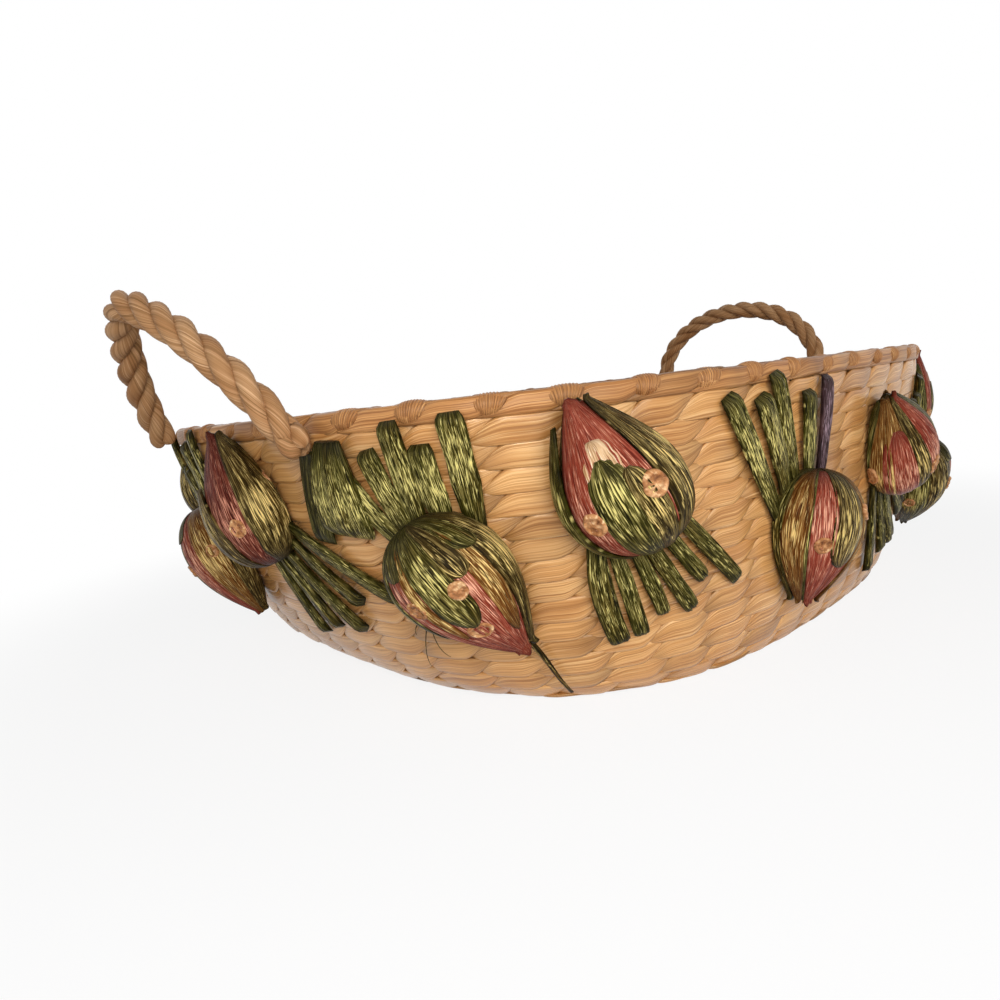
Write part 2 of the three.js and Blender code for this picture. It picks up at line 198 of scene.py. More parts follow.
LEAF_SHINES = (0.4, 0.7)  # where its painted highlight is brightest, least and most share of its length
LEAF_SHINE_LENGTH = 0.25
LEAF_ROOT_SHADE = 0.7
LEAF_TIP_SHADE = 0.6
LEAF_STEPS = 26
LEAF_TRIM = 2 * MM  # a leaf is cut back in such steps until it clears the rope feet
FOOT_ROOM = 5 * MM
RIBBON_RIDGE = 0.14
RIBBON_SIDES = 30
RIBBON_FLATNESS = 2.4  # 2 is round in section
RIBBON_EDGE_SHADE = 0.5
BLUNT_TIP = 2.4 * MM  # radius of the petals' tips
PETAL_ROOM = 2.8 * MM  # the core is this much smaller all round
PETAL_CROWN = 0.7 * MM  # a petal's middle stands this much over its edges
PETAL_THICKNESS = 1.1 * MM
PETAL_ROWS = 34
PETAL_COLUMNS = 27
PETAL_TIP = 0.82  # share of a petal's length at which its end starts to round off
PETAL_BLUNTNESS = 0.95
PETAL_ROOT_WIDTH = 0.6
PETAL_WIDENING = 0.25  # share of its length in which it comes to its full width
PETAL_ROOT_LIFT = 0.5
PETAL_LIFTING = 0.2  # and to its full lift
PETAL_SWAY = 3  # degrees
PETAL_WAVE = 2.4  # radians of the sway along a petal
PETAL_NOTCHES = 9
PETAL_RAGGED = 0.03
PETAL_THREAD = 0.2 * MM
PETAL_THREADED = (0.06, 0.94)  # the part of its length in which threads stand up
PETAL_GRAIN = 0.36  # radius that the fibres are counted on, in bulb widths
PETAL_CURL = (0, 0.3 * MM)  # least and most
PETAL_SHINE = 0.95
PETAL_SHINES = (0.4, 0.5)  # where its painted highlight is brightest, on the way from root to tip
PETAL_SHINE_LENGTH = 0.13
PETAL_SHINE_LOSS = 0.6  # at its edges
PETAL_ROOT_SHADE = 0.8
PETAL_SHADED = 0.26  # share of the way from root to tip that is shaded
PETAL_EDGE_SHADE = 0.4
PETAL_TIP_SHADE = 0.45
SEPAL_LIFT = 1.9  # petals that are lifted this much bend away from the bulb at their tip
SEPAL_TAPER = 0.5
SEPAL_CURL = (0.9 * MM, 1.6 * MM)
DISC_ROWS = 16
DISC_SIDES = 28
DISC_LOBES = ((2, 0.05), (5, 0.03))
DISC_SIZES = (0.9, 1.1)  # least and most, as shares
DISC_HOLE = 0.02
DISC_RING = (0.76, 0.13)  # place and width of the raised ring, as shares of the way out
DISC_GROOVE = (0.5, 0.14)  # and of the groove inside it
DISC_LIFT = 0.1 * MM
DISC_RISE = 0.55 * MM
DISC_WRINKLE = 0.2 * MM
DISC_WRINKLES = 7
DISC_SWIRL = 5  # radians that the wrinkles turn
DISC_EDGE = 0.97
DISC_SINK = 1.2 * MM  # the outermost edge goes in under the bulb's skin
DISC_STRETCH = 0.72  # way along the outline for a bulb's length, near its middle
DISC_SHADE = 0.3
DISC_SHINE = 0.3
DISC_EDGE_SHADE = 0.6

# A petal: colour, middle and width in degrees round the bulb, where it starts and stops between
# the root at 0 and the tip at 1, and its lift in millimetres
TIP_UP_PETALS = [
    [
        ("wine", -60, 80, 0.04, 1, 0.4), ("green", -115, 60, 0, 0.92, 0.8),
        ("wine", 36, 88, 0, 1.02, 0.9), ("gold", 150, 70, 0, 0.9, 0.6),
        ("bronze", -12, 70, 0, 0.62, 1.9), ("bronze", 104, 100, 0, 0.96, 1.9),
    ],
    [
        ("gold", -145, 60, 0, 0.9, 0.4), ("green", 130, 60, 0, 0.9, 0.8),
        ("red", -18, 112, 0.02, 1.02, 1), ("red", 60, 70, 0.05, 0.88, 0.6),
        ("tan", -17, 46, 0.52, 0.7, 1.25), ("green", -14, 42, 0, 0.63, 1.7),
        ("bronze", 7, 32, 0, 0.57, 1.8), ("green", -87, 56, 0, 0.8, 2.6),
        ("bronze", 63, 84, 0, 0.94, 2.1),
    ],
    [
        ("gold", 110, 70, 0, 0.95, 0.6), ("gold", -76, 104, 0, 1, 0.9),
        ("red", -54, 60, 0, 0.68, 1.3), ("green", -126, 44, 0, 0.92, 1.6),
        ("bronze", -22, 30, 0, 0.98, 1.6), ("red", 8, 50, 0.04, 1.03, 1.7),
        ("green", 54, 56, 0, 0.9, 1.8),
    ],
]
TIP_DOWN_PETALS = [
    [
        ("bronze", 130, 70, 0, 0.95, 0.6), ("red", -20, 116, 0.08, 1.02, 0.8),
        ("red", 34, 50, 0.1, 0.96, 0.9), ("gold", -49, 28, 0.1, 0.72, 1.2),
        ("gold", 15, 14, 0.08, 0.62, 1.2), ("green", -6, 34, 0, 0.58, 1.7),
        ("green", 70, 50, 0, 0.62, 1.8), ("bronze", -91, 74, 0, 1, 2.0),
        ("green", 26, 44, 0, 0.3, 1.5), ("bronze", -30, 34, 0, 0.4, 1.6),
        ("green", -60, 44, 0, 0.34, 1.8),
    ],
    [
        ("bronze", -104, 76, 0, 0.95, 3.4), ("red", 2, 70, 0.1, 1, 0.7),
        ("red", 38, 70, 0.06, 1.02, 1), ("gold", 86, 50, 0, 0.98, 2.8),
        ("green", 64, 8, 0.04, 0.95, 1.8), ("gold", -44, 70, 0, 0.95, 2.2),
        ("green", 126, 66, 0, 0.98, 3.6), ("bronze", 10, 52, 0, 0.6, 1.8),
        ("green", 96, 40, 0, 0.26, 1.85),
    ],
    [
        ("gold", 132, 66, 0, 0.95, 0.7), ("gold", -52, 74, 0, 1, 1),
        ("red", -12, 42, 0.04, 1, 1.2), ("green", 82, 50, 0, 0.92, 1.5),
        ("bronze", 32, 60, 0, 0.96, 1.5), ("bronze", -104, 64, 0, 1, 1.6),
        ("green", 0, 44, 0, 0.3, 1.8),
    ],
]
# Which look each pair has, in turn round the basket
TIP_UP_LOOKS = (0, 1, 2, 1, 0, 1, 2, 1)
TIP_DOWN_LOOKS = (0, 1, 2, 0, 1, 0, 1, 2)
# A disc: share of the way from root to tip, and degrees round the bulb
TIP_UP_DISCS = [
    [(0.4, 39), (0.42, -66), (0.55, 118)],
    [(0.43, -46), (0.48, 15), (0.4, 98)],
    [(0.36, -4), (0.42, 80), (0.44, -104)],
]
TIP_DOWN_DISCS = [
    [(0.43, -21), (0.43, 24), (0.61, -4)],
    [(0.49, 44), (0.35, -25), (0.42, -80)],
    [(0.42, -60), (0.46, 8), (0.5, 90)],
]
# A leaf: its turn at the root and at the tip in degrees, then its reach from the bulb's middle and
# its width in millimetres
TIP_UP_LEAVES = [
    [(200, 176, 68, 7), (181, 161, 65, 6.5), (164, 147, 71, 7.5), (140, 134, 65, 7), (122, 122, 80, 6.5)],
    [
        (200, 184, 67, 8.5), (188, 177, 65, 6.5), (172, 167, 59, 6), (160, 156, 64, 7),
        (142, 145, 57, 6.5), (125, 136, 72, 7.5),
    ],
]
TIP_DOWN_LEAVES = [
    [(-52, -39, 62, 8), (-40, -25, 56, 8.5), (-27, -12, 61, 8.5), (-4, -4, 51, 9.5), (22, 8, 61, 10)],
    [(-58, -38, 79, 9), (-36, -27, 68, 9.5), (-18, -18, 72, 8), (6, 1, 60, 9), (30, 14, 67, 8)],
]
PLUM_LEAF = 4  # the last leaf of every fourth tip-down fan is plum, not green
PLUM_EVERY = 4
PLUM_FIRST = 1

# The first tip-down fan has a wide fold, a stem from the bulb's tip and some loose fibres.
# Places are right of and above the bulb's middle, in millimetres.
DRESSED_BULB = 2
FOLD_LINE = ((-42, 18), (-40, 38), (-38.7, 55))
FOLD_WIDTH = 25 * MM
FOLD_DEPTH = 6.6 * MM
FOLD_NARROWING = 0.55  # towards its top
FOLD_FOOT = 0.16  # share of its length that is rounded off
FOLD_THINNEST = 0.45
FOLD_SHINE = 0.9
FOLD_FOOT_SHINE = 0.6
FOLD_TOP_SHADE = 0.95
FOLD_STEPS = 34
FOLD_SIDES = 70
FOLD_FLAP = ((-57.5, 15), (-54, 34), (-48, 52))
FLAP_WIDTH = 12 * MM
STEM_LINE = ((15, -25), (17.7, -32.8), (19.2, -40), (21.4, -52))
STEM_WIDTH = 2.6 * MM
LOOSE_FIBRES = (
    ((-20, -18), (-20.1, -27.7), (-17.2, -32.5)),
    ((-21, -17), (-26.8, -30.2), (-28.2, -38.5)),
    ((-22, -15), (-26.7, -19.1), (-27.9, -22.8)),
)
FIBRE_WIDTH = 0.5 * MM
THIN_STEPS = 14
THIN_SIDES = 6
THIN_TAPER = 0.4
# A flat strand end below the front left rope foot, right of and above it in millimetres
TUCK_LINE = ((0, -4), (3, -18), (9, -34))
TUCK_WIDTH = 8 * MM
TUCK_THICKNESS = 1.8 * MM
TUCK_STEPS = 20
TUCK_SIDES = 16
TUCK_RIDGE = 0.05
TUCK_SHADE = 0.3

# Colours, light to dark, as sRGB hex. The light one is also the colour of the painted glints.
COLOURS = {
    "weave": ("e6b981", "cc975a", "9c6836"),
    "rim": ("cc9860", "ad7947", "7a4c29"),
    "rope": ("d0a880", "aa8159", "6a4828"),
    "stake": ("b89058", "94703f", "6b4c28"),
    "green": ("dccd7e", "38350b", "100f03"),
    "bronze": ("e2c67c", "36290b", "110c02"),
    "red": ("e8ac8e", "8c3b2c", "541a14"),
    "wine": ("d49278", "5e241c", "300d0a"),
    "gold": ("eccb82", "70451a", "341d07"),
    "tan": ("f0dcc0", "cba77e", "8a6643"),
    "plum": ("a08690", "3d2c31", "191012"),
    "disc": ("e0bc8e", "b88254", "744626"),
}
COLOURS["rim_band"] = COLOURS["rim"]
WARM_SHEEN = (1.0, 0.9, 0.7, 1.0)
WARM_SHADE = (0.78, 0.66, 0.54, 1.0)

# A fibre: scales of its drift and its streaks, per metre along, per metre across and by piece, then
# roughness, spread of the streaks, bump, veins, sheen, and how light the lightest streaks are
FIBRES = {
    "weave": ((24, 70, 1), (12, 1900, 1), 0.3, 0.2, 0.3, 0.7, 0.6, 1),
    "rim": ((24, 70, 1), (12, 1900, 1), 0.4, 0.2, 0.3, 0.7, 0.4, 1),
    "rim_band": ((60, 30, 1), (1500, 30, 1), 0.45, 0.2, 0.6, 0.6, 0.4, 1),
    "rope": ((26, 90, 1), (16, 1000, 1), 0.6, 0.36, 0.5, 0.8, 0.2, 1),
    "stake": ((10, 40, 1), (20, 900, 1), 0.6, 0.25, 0.4, 0.3, 0.25, 1),
    "disc": ((300, 300, 1), (500, 500, 1), 0.45, 0.2, 0.5, 0.4, 0.3, 0.5),
}
RAFFIA = ((30, 90, 1), (130, 2300, 1), 0.32, 0.15, 0.7, 0.6, 0.06, 0.25)  # all the other colours
BULB_KINDS = ["bronze", "green", "red", "wine", "gold", "tan", "disc"]
LEAF_KINDS = ["green", "plum", "bronze"]
# Noise has values round 0.5.
DRIFT_DARK = 0.34
DRIFT_PLAIN = 0.64
VEIN_SCALE = (0.4, 0.28, 1)  # of the streaks' scale
VEIN_HALF = 0.022
GROOVE_HALF = 0.045
GROOVE_SHARE = 0.6
# Painted glints: streaks of the light colour, painted in where a fine noise runs high
GLINT_SCALE = (1.6, 1.1, 1)
GLINT_RANGE = (0.58, 0.72)
GLINT_PULL = -0.12  # of the painted-light attribute, on the painted glints
DARKEST = 0.2
BUMP_DEPTH = 0.4 * MM
GLOSS_PLAY = 0.12
PATTERNS = 100
STRAND_PATTERN = 10

# Stage
CAMERA_PLACE = (-0.31988, -0.29667, 0.12137)
CAMERA_YAW = 0.8495
CAMERA_PITCH = -0.1531
CAMERA_ROLL = -0.1149
CAMERA_LENS = 24.87
SENSOR_WIDTH = 36
CLIP_START = 0.01
LIGHT_TARGET = (0, 0, 0.06)
LIGHTS = {  # place, size and power
    "flash": ((-0.4, -0.347, 0.22), 0.1, 0.62),
    "key": ((-0.3, -0.75, 0.3), 0.5, 3.2),
    "left_fill": ((-1.3, 0.3, 0.7), 1.2, 3.0),
    "right_fill": ((1.2, -0.5, 0.9), 1.2, 1.3),
    "back_fill": ((0.3, 1.3, 1.0), 1.2, 3.3),
}
WORLD_LIGHT = 0.18
FLOOR_SIZE = 30
FLOOR_PAPER = 0.9
FLOOR_NEAR = 0.26  # the floor is lit paper up to here, and plain white from FLOOR_FAR on
FLOOR_FAR = 0.5
FLOOR_GLOW = 0.85  # share of the lit paper that is plain white to the camera

rng = np.random.default_rng(20)


def colour(hex_code):
    shares = [int(hex_code[i:i + 2], 16) / 255 for i in (0, 2, 4)]
    linear = [((c + 0.055) / 1.055) ** 2.4 if c > 0.04045 else c / 12.92 for c in shares]
    return (*linear, 1.0)


# The wall: an oval at each height, wider towards the rim
def spread(z):
    return 1 - (np.clip(z, 0, None) / BASKET_HEIGHT) ** FLARE_POWER


def half_length(z):
    return RIM_LENGTH / 2 - END_FLARE * spread(z)


def half_width(z):
    return RIM_WIDTH / 2 - SIDE_FLARE * spread(z)


def rounded(value, power):
    return np.sign(value) * np.abs(value) ** (2 / power)


def wall_surface(angle, z):
    x = half_length(z) * rounded(np.cos(angle), OVAL_POWER)
    y = half_width(z) * rounded(np.sin(angle), OVAL_POWER)
    return np.stack([x, y, z + 0 * angle], -1)


def unit(vectors):
    return vectors / np.linalg.norm(vectors, axis=-1, keepdims=True)


def wall_axes(angle, z):
    """The directions up the wall and out of it."""
    turn, lift = 1e-3, 1e-5
    along = unit(wall_surface(angle + turn, z) - wall_surface(angle - turn, z))
    up = unit(wall_surface(angle, z + lift) - wall_surface(angle, z - lift))
    return up, unit(np.cross(along, up))


def arc_lengths(points):
    steps = np.linalg.norm(np.diff(points, axis=0), axis=1)
    return np.concatenate([[0.0], np.cumsum(steps)])


rim_angles = np.linspace(0, 2 * math.pi, CURVE_STEPS + 1)
rim_arc = arc_lengths(wall_surface(rim_angles, np.full(CURVE_STEPS + 1, BASKET_HEIGHT)))
profile_heights = np.linspace(0, BASKET_HEIGHT, CURVE_STEPS + 1)
mean_reach = (half_length(profile_heights) + half_width(profile_heights)) / 2
profile_arc = arc_lengths(np.stack([mean_reach, profile_heights], -1))
rim_perimeter = rim_arc[-1]
wall_rise = profile_arc[-1]


def angle_at(share):
    return np.interp((share % 1.0) * rim_perimeter, rim_arc, rim_angles)


def height_at(rise):
    return np.interp(rise, profile_arc, profile_heights) + np.clip(rise - wall_rise, 0, None)


def rise_at(z):
    return np.interp(z, profile_heights, profile_arc)


def perimeter_at(z):
    return rim_perimeter * 2 * (half_length(z) + half_width(z)) / (RIM_LENGTH + RIM_WIDTH)


def wall_line(share, rise):
    """Places on the wall's outside, with the directions up it and out of it."""
    angle = angle_at(share)
    z = height_at(rise) + 0 * angle
    up, out = wall_axes(angle, z)
    return wall_surface(angle, z), up, out


def lay_on_wall(points, spot, turn):
    """Points drawn flat, with Y along the turn and Z outwards, bent onto the wall at a spot."""
    share, rise = spot
    turn = math.radians(turn)
    along = points[..., 0] * math.cos(turn) + points[..., 1] * math.sin(turn)
    up = points[..., 1] * math.cos(turn) - points[..., 0] * math.sin(turn)
    place = rise + up
    where, _, out = wall_line(share + along / perimeter_at(height_at(place)), place)
    return where + np.maximum(points[..., 2], SEAT_GAP)[..., None] * out


# Meshes: closed patches are gathered, then made into one object
class Patches:
    def __init__(self):
        self.points = []
        self.grain = []
        self.painted_light_and_tone = []
        self.loops = []
        self.sizes = []
        self.kinds = []
        self.count = 0

    def add(self, points, faces, grain, painted_light_and_tone, kind=0):
        """Adds a closed patch, with its faces turned outwards."""
        fans = []
        for face in faces:
            fans += [face[:, [0, i, i + 1]] for i in range(1, face.shape[1] - 1)]
        corners = np.concatenate(fans)
        a, b, c = (points[corners[:, i]] - points.mean(0) for i in range(3))
        inside_out = np.einsum("ij,ij->", a, np.cross(b, c)) < 0
        for face in faces:
            if inside_out:
                face = face[:, ::-1]
            self.loops.append((face + self.count).ravel())
            self.sizes.append(np.full(len(face), face.shape[1]))
            self.kinds.append(np.full(len(face), kind))
        self.points.append(points)
        self.grain.append(grain)
        self.painted_light_and_tone.append(painted_light_and_tone)
        self.count += len(points)

    def tube(self, rings, grain, painted_light_and_tone, kind=0):
        """A closed tube through rings of points, with flat ends."""
        rows, sides = rings.shape[:2]
        i = np.arange(rows - 1)[:, None] * sides
        j = np.arange(sides)[None, :]
        k = (j + 1) % sides
        walls = np.stack([i + j, i + k, i + k + sides, i + j + sides], -1).reshape(-1, 4)
        ends = np.stack([np.arange(sides)[::-1], np.arange(sides) + (rows - 1) * sides])
        self.add(rings.reshape(-1, 3), [walls, ends], grain.reshape(-1, 3), painted_light_and_tone.ravel(), kind)

    def slab(self, outer, inner, grain, painted_light_and_tone, kind=0):
        """A closed slab between two grids of points."""
        rows, columns = outer.shape[:2]
        i = np.arange(rows - 1)[:, None] * columns
        j = np.arange(columns - 1)[None, :]
        top = np.stack([i + j, i + j + 1, i + j + 1 + columns, i + j + columns], -1).reshape(-1, 4)
        below = top[:, ::-1] + rows * columns
        first = np.arange(columns)
        right = np.arange(1, rows) * columns + columns - 1
        last = (rows - 1) * columns + np.arange(columns - 2, -1, -1)
        left = np.arange(rows - 2, 0, -1) * columns
        border = np.concatenate([first, right, last, left])
        after = np.roll(border, -1)
        sides = np.stack([after, border, border + rows * columns, after + rows * columns], -1)
        points = np.concatenate([outer.reshape(-1, 3), inner.reshape(-1, 3)])
        grains = np.concatenate([grain.reshape(-1, 3)] * 2)
        self.add(points, [top, below, sides], grains, np.concatenate([painted_light_and_tone.ravel()] * 2), kind)

    def make(self, name, *fibre_names):
        mesh = bpy.data.meshes.new(name)
        loops = np.concatenate(self.loops)
        sizes = np.concatenate(self.sizes)
        mesh.vertices.add(self.count)
        mesh.vertices.foreach_set("co", np.concatenate(self.points).astype(np.float32).ravel())
        mesh.loops.add(len(loops))
        mesh.loops.foreach_set("vertex_index", loops.astype(np.int32))
        mesh.polygons.add(len(sizes))
        starts = np.concatenate([[0], np.cumsum(sizes)[:-1]])
        mesh.polygons.foreach_set("loop_start", starts.astype(np.int32))
        mesh.polygons.foreach_set("material_index", np.concatenate(self.kinds).astype(np.int32))
        grain = mesh.attributes.new("grain", "FLOAT_VECTOR", "POINT")
        grain.data.foreach_set("vector", np.concatenate(self.grain).astype(np.float32).ravel())
        # per point: painted shade where over 0, painted glints where low, and in the weave a random tone
        # too
        painted_light_and_tone = mesh.attributes.new("painted_light_and_tone", "FLOAT", "POINT")
        painted_light_and_tone.data.foreach_set("value", np.concatenate(self.painted_light_and_tone).astype(np.float32))
        mesh.update(calc_edges=True)
        mesh.validate()
        mesh.shade_smooth()
        for fibre_name in fibre_names:
            mesh.materials.append(fibres[fibre_name])
        obj = bpy.data.objects.new(name, mesh)
        bpy.context.scene.collection.objects.link(obj)
        return obj


# Helpers for forms and grain
def wander(count, places, size):
    """Random values at places along a closed line, between count random knots."""
    knots = rng.normal(0, size, count)
    knots = np.append(knots, knots[0])
    return np.interp(places * count, np.arange(count + 1), knots)


def slope(value, start, stop):
    """From 0 at the start to 1 at the stop, and level beyond them."""
    return np.clip((value - start) / (stop - start), 0, 1)


def smooth_step(share):
    share = np.clip(share, 0, 1)
    return share * share * (3 - 2 * share)


def bell(value, middle, width):
    return np.exp(-((value - middle) / width) ** 2)


def grow(least, share):
    """From least to 1, as the share goes from 0 to 1."""
    return least + (1 - least) * share


def round_end(to_end, length, least):
    """Share of the full width at a distance from an end that is rounded over a length."""
    return np.sqrt(np.clip(1 - (1 - np.clip(to_end / length, 0, 1)) ** 2, least, 1))


def circle(count):
    return 2 * math.pi * np.arange(count) / count


def new_pattern():
    """A number that gives a piece a grain of its own."""
    return rng.uniform(0, PATTERNS)


def new_phase():
    return rng.uniform(0, 6)


def grain_map(grid, along, across, pattern):
    """Places along and across the fibres for a grid of points."""
    grain = np.zeros(grid.shape)
    grain[..., 0] = along
    grain[..., 1] = across
    grain[..., 2] = pattern
    return grain


# Materials
class Graph:
    def __init__(self, tree):
        self.tree = tree
        self.tree.nodes.clear()

    def add(self, kind, *values, settings=None, **named):
        """A node with its first inputs given in order and others by name, as values or as links."""
        node = self.tree.nodes.new(kind)
        for key, value in (settings or {}).items():
            setattr(node, key, value)
        for key, value in [*enumerate(values), *named.items()]:
            self.set(node, key, value)
        return node

    def set(self, node, key, value):
        if isinstance(value, bpy.types.NodeSocket):
            self.tree.links.new(value, node.inputs[key])
        else:
            node.inputs[key].default_value = value

    def calculate(self, operation, *values):
        return self.add("ShaderNodeMath", *values, settings={"operation": operation}).outputs[0]

    def attribute(self, name, output):
        return self.add("ShaderNodeAttribute", settings={"attribute_name": name}).outputs[output]

    def noise(self, scale, detail, roughness):
        """Noise that is stretched along the grain: scale is per metre along, across and by piece."""
        grain = self.attribute("grain", "Vector")
        stretch = self.add("ShaderNodeVectorMath", grain, scale, settings={"operation": "MULTIPLY"})
        return self.add(
            "ShaderNodeTexNoise", stretch.outputs[0], Scale=1.0, Detail=detail, Roughness=roughness
        ).outputs[0]

    def ramp(self, factor, stops):
        node = self.add("ShaderNodeValToRGB", factor)
        elements = node.color_ramp.elements
        while len(elements) < len(stops):
            elements.new(0.5)
        for element, (position, value) in zip(elements, stops):
            element.position = position
            element.color = value
        return node.outputs[0]

    def mix(self, blend, factor, first, second):
        node = self.add("ShaderNodeMix", factor, settings={"data_type": "RGBA", "blend_type": blend})
        self.set(node, 6, first)
        self.set(node, 7, second)
        return node.outputs[2]

    def span(self, factor, old, new):
        return self.add("ShaderNodeMapRange", factor, *old, *new).outputs[0]


def grey(value):
    return (value, value, value, 1.0)


def material_graph(name):
    material = bpy.data.materials.new(name)
    material.use_nodes = True
    return material, Graph(material.node_tree)


def scaled(scale, shares):
    return [size * share for size, share in zip(scale, shares)]


def line_ramp(half, beside, inside):
    """Stops of a ramp that picks out a line round the middle of a noise."""
    return [(0.5 - half, grey(beside)), (0.5, grey(inside)), (0.5 + half, grey(beside))]


def fibre(name, drift, streak, rough, spread, bump, vein, sheen, pale):
    """Plant fibre: streaks from dark to light over a slow drift of tone, with a few dark veins. Where the
    painted-light attribute is over 0 it paints shade in, and the lower it is, the more painted glints
    there are."""
    material, graph = material_graph(name)
    light, middle, dark = (colour(tone) for tone in COLOURS[name])
    palest = [m + pale * (l - m) for m, l in zip(middle, light)]
    streaks = graph.noise(streak, detail=3.0, roughness=0.6)
    body = graph.ramp(streaks, [(0.5 - spread, dark), (0.5, middle), (0.5 + spread, palest)])
    drifts = graph.noise(drift, detail=2.0, roughness=0.55)
    slow = graph.ramp(drifts, [(DRIFT_DARK, WARM_SHADE), (DRIFT_PLAIN, grey(1.0))])
    body = graph.mix("MULTIPLY", 1.0, body, slow)
    veins = graph.noise(scaled(streak, VEIN_SCALE), detail=1.0, roughness=0.4)
    body = graph.mix("MIX", graph.ramp(veins, line_ramp(VEIN_HALF, 0.0, vein)), body, dark)
    painted_light_and_tone = graph.attribute("painted_light_and_tone", "Fac")
    # painted glints: streaks of the light colour where a fine noise runs high, more where the attribute
    # is low
    sparks = graph.noise(scaled(streak, GLINT_SCALE), detail=2.0, roughness=0.6)
    glow = graph.calculate("MULTIPLY_ADD", painted_light_and_tone, GLINT_PULL, sparks)
    body = graph.mix("MIX", graph.span(glow, GLINT_RANGE, (0, 1)), body, light)
    # painted shade, down to DARKEST where the attribute reaches 1
    shade = graph.ramp(painted_light_and_tone, [(0.0, grey(1.0)), (1.0, grey(DARKEST))])
    body = graph.mix("MULTIPLY", 1.0, body, shade)
    grooves = graph.ramp(veins, line_ramp(GROOVE_HALF, 1.0, DARKEST))
    height = graph.mix("MULTIPLY", GROOVE_SHARE, streaks, grooves)
    bumps = graph.add("ShaderNodeBump", Strength=bump, Distance=BUMP_DEPTH, Height=height)
    gloss = graph.span(streaks, (0, 1), (rough + GLOSS_PLAY, rough - GLOSS_PLAY))
    surface = graph.add("ShaderNodeBsdfPrincipled", Roughness=gloss, Normal=bumps.outputs[0])
    graph.set(surface, "Base Color", body)
    graph.set(surface, "Specular IOR Level", sheen)
    graph.set(surface, "Specular Tint", WARM_SHEEN)
    graph.add("ShaderNodeOutputMaterial", surface.outputs[0])
    return material


fibres = {name: fibre(name, *FIBRES.get(name, RAFFIA)) for name in COLOURS}


# Twined strands
def twine(patches, line, share, columns, half_row, shift, swing, thickness):
    """Two flat strands along a closed line, each in front of every second stake and behind the others.
    In front, a strand has a leaf's shape, from a low point on its left to a high point on its right."""
    where, up, out = line
    length = arc_lengths(where)
    around = circle(STRAND_SIDES)
    c, s = math.cos(STRAND_TILT), math.sin(STRAND_TILT)
    sway = wander(columns, share, SWAY_PLAY)
    for strand in (0, 1):
        phase = math.pi * (columns * (share - shift) + strand) + sway
        turn = (phase + math.pi) % (2 * math.pi) - math.pi
        upper = 2 * smooth_step((turn + STRAND_FAR) / (STRAND_FAR - STRAND_NEAR)) - 1
        lower = 1 - 2 * smooth_step((STRAND_FAR - turn) / (STRAND_FAR - STRAND_NEAR))
        behind = slope(np.abs(turn), STRAND_FAR, math.pi)
        lift = half_row * (upper + lower) / 2 * (1 - behind) + wander(columns, share, LIFT_PLAY)
        wide = half_row * ((upper - lower) / 2 + STRAND_LAP + HIDDEN_WIDTH * behind)
        wide = wide * (1 + wander(columns, share, WIDTH_PLAY))
        depth = swing * np.tanh(STRAND_SNAP * (np.cos(turn) + STRAND_BIAS)) + STRAND_BULGE * np.cos(turn)
        depth = depth + wander(columns, share, DEPTH_PLAY)
        thick = thickness / 2 * (1 + wander(columns, share, THICKNESS_PLAY))
        across = wide[:, None] * np.cos(around)
        radial = thick[:, None] * rounded(np.sin(around), STRAND_FLATNESS)
        outward = depth[:, None] + radial * c + across * s
        upward = lift[:, None] + across * c - radial * s
        rings = where[:, None] + outward[..., None] * out[:, None] + upward[..., None] * up[:, None]
        rings[..., 2] = np.maximum(rings[..., 2], FLOOR_GAP)
        grain = grain_map(rings, length[:, None], half_row[:, None] * np.cos(around), new_pattern())
        # painted shade where a strand dives and along its very edges, plus a random tone from stake to
        # stake
        dive = DIVE_SHADE * smooth_step((np.abs(turn) - STRAND_NEAR) / (STRAND_FAR - STRAND_NEAR))
        tone = dive + wander(columns, share, TONE_PLAY)
        edge = EDGE_SHADE * np.abs(np.cos(around)) ** EDGE_POWER
        patches.tube(rings, grain, np.clip(tone[:, None] + edge, -0.5, 1))


def closed_shares(steps):
    return np.linspace(0, 1, steps + 1)


def finish_piece(obj, body, slot, *nodes):
    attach(obj, body)
    if nodes:
        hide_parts(*nodes)


def build_rows():
    share = closed_shares(COLUMN_COUNT * STEPS_PER_COLUMN)
    rises = np.linspace(rise_at(WALL_FOOT), rise_at(WALL_TOP), ROW_COUNT + 1)
    for row in range(ROW_COUNT):
        low, high = rises[row], rises[row + 1]
        where, up, out = wall_line(share, (low + high) / 2)
        reach = wall_line(share, high)[0] - wall_line(share, low)[0]
        half_row = np.linalg.norm(reach, axis=1) / 2
        patches = Patches()
        line = (where - out * WALL_THICKNESS / 2, up, out)
        twine(patches, line, share, COLUMN_COUNT, half_row, COLUMN_SHIFT, STRAND_SWING, STRAND_THICKNESS)
        number = f"{row + 1:02d}"
        obj = patches.make(f"twined_row_{number}", "weave")
        finish_piece(obj, "basket", "weave", f"weave_row_{number}")


def base_oval(inset, angle):
    """Places in the base, this far in from its edge, on ovals that are rounder towards the middle."""
    a = half_length(WALL_FOOT) - BASE_INSET - inset
    b = half_width(WALL_FOOT) - BASE_INSET - inset
    power = OVAL_POWER + (2 - OVAL_POWER) * inset / (inset + b)
    x = a * rounded(np.cos(angle), power)
    y = b * rounded(np.sin(angle), power)
    return np.stack([x, y, np.full(len(angle), BASE_THICKNESS / 2)], -1)


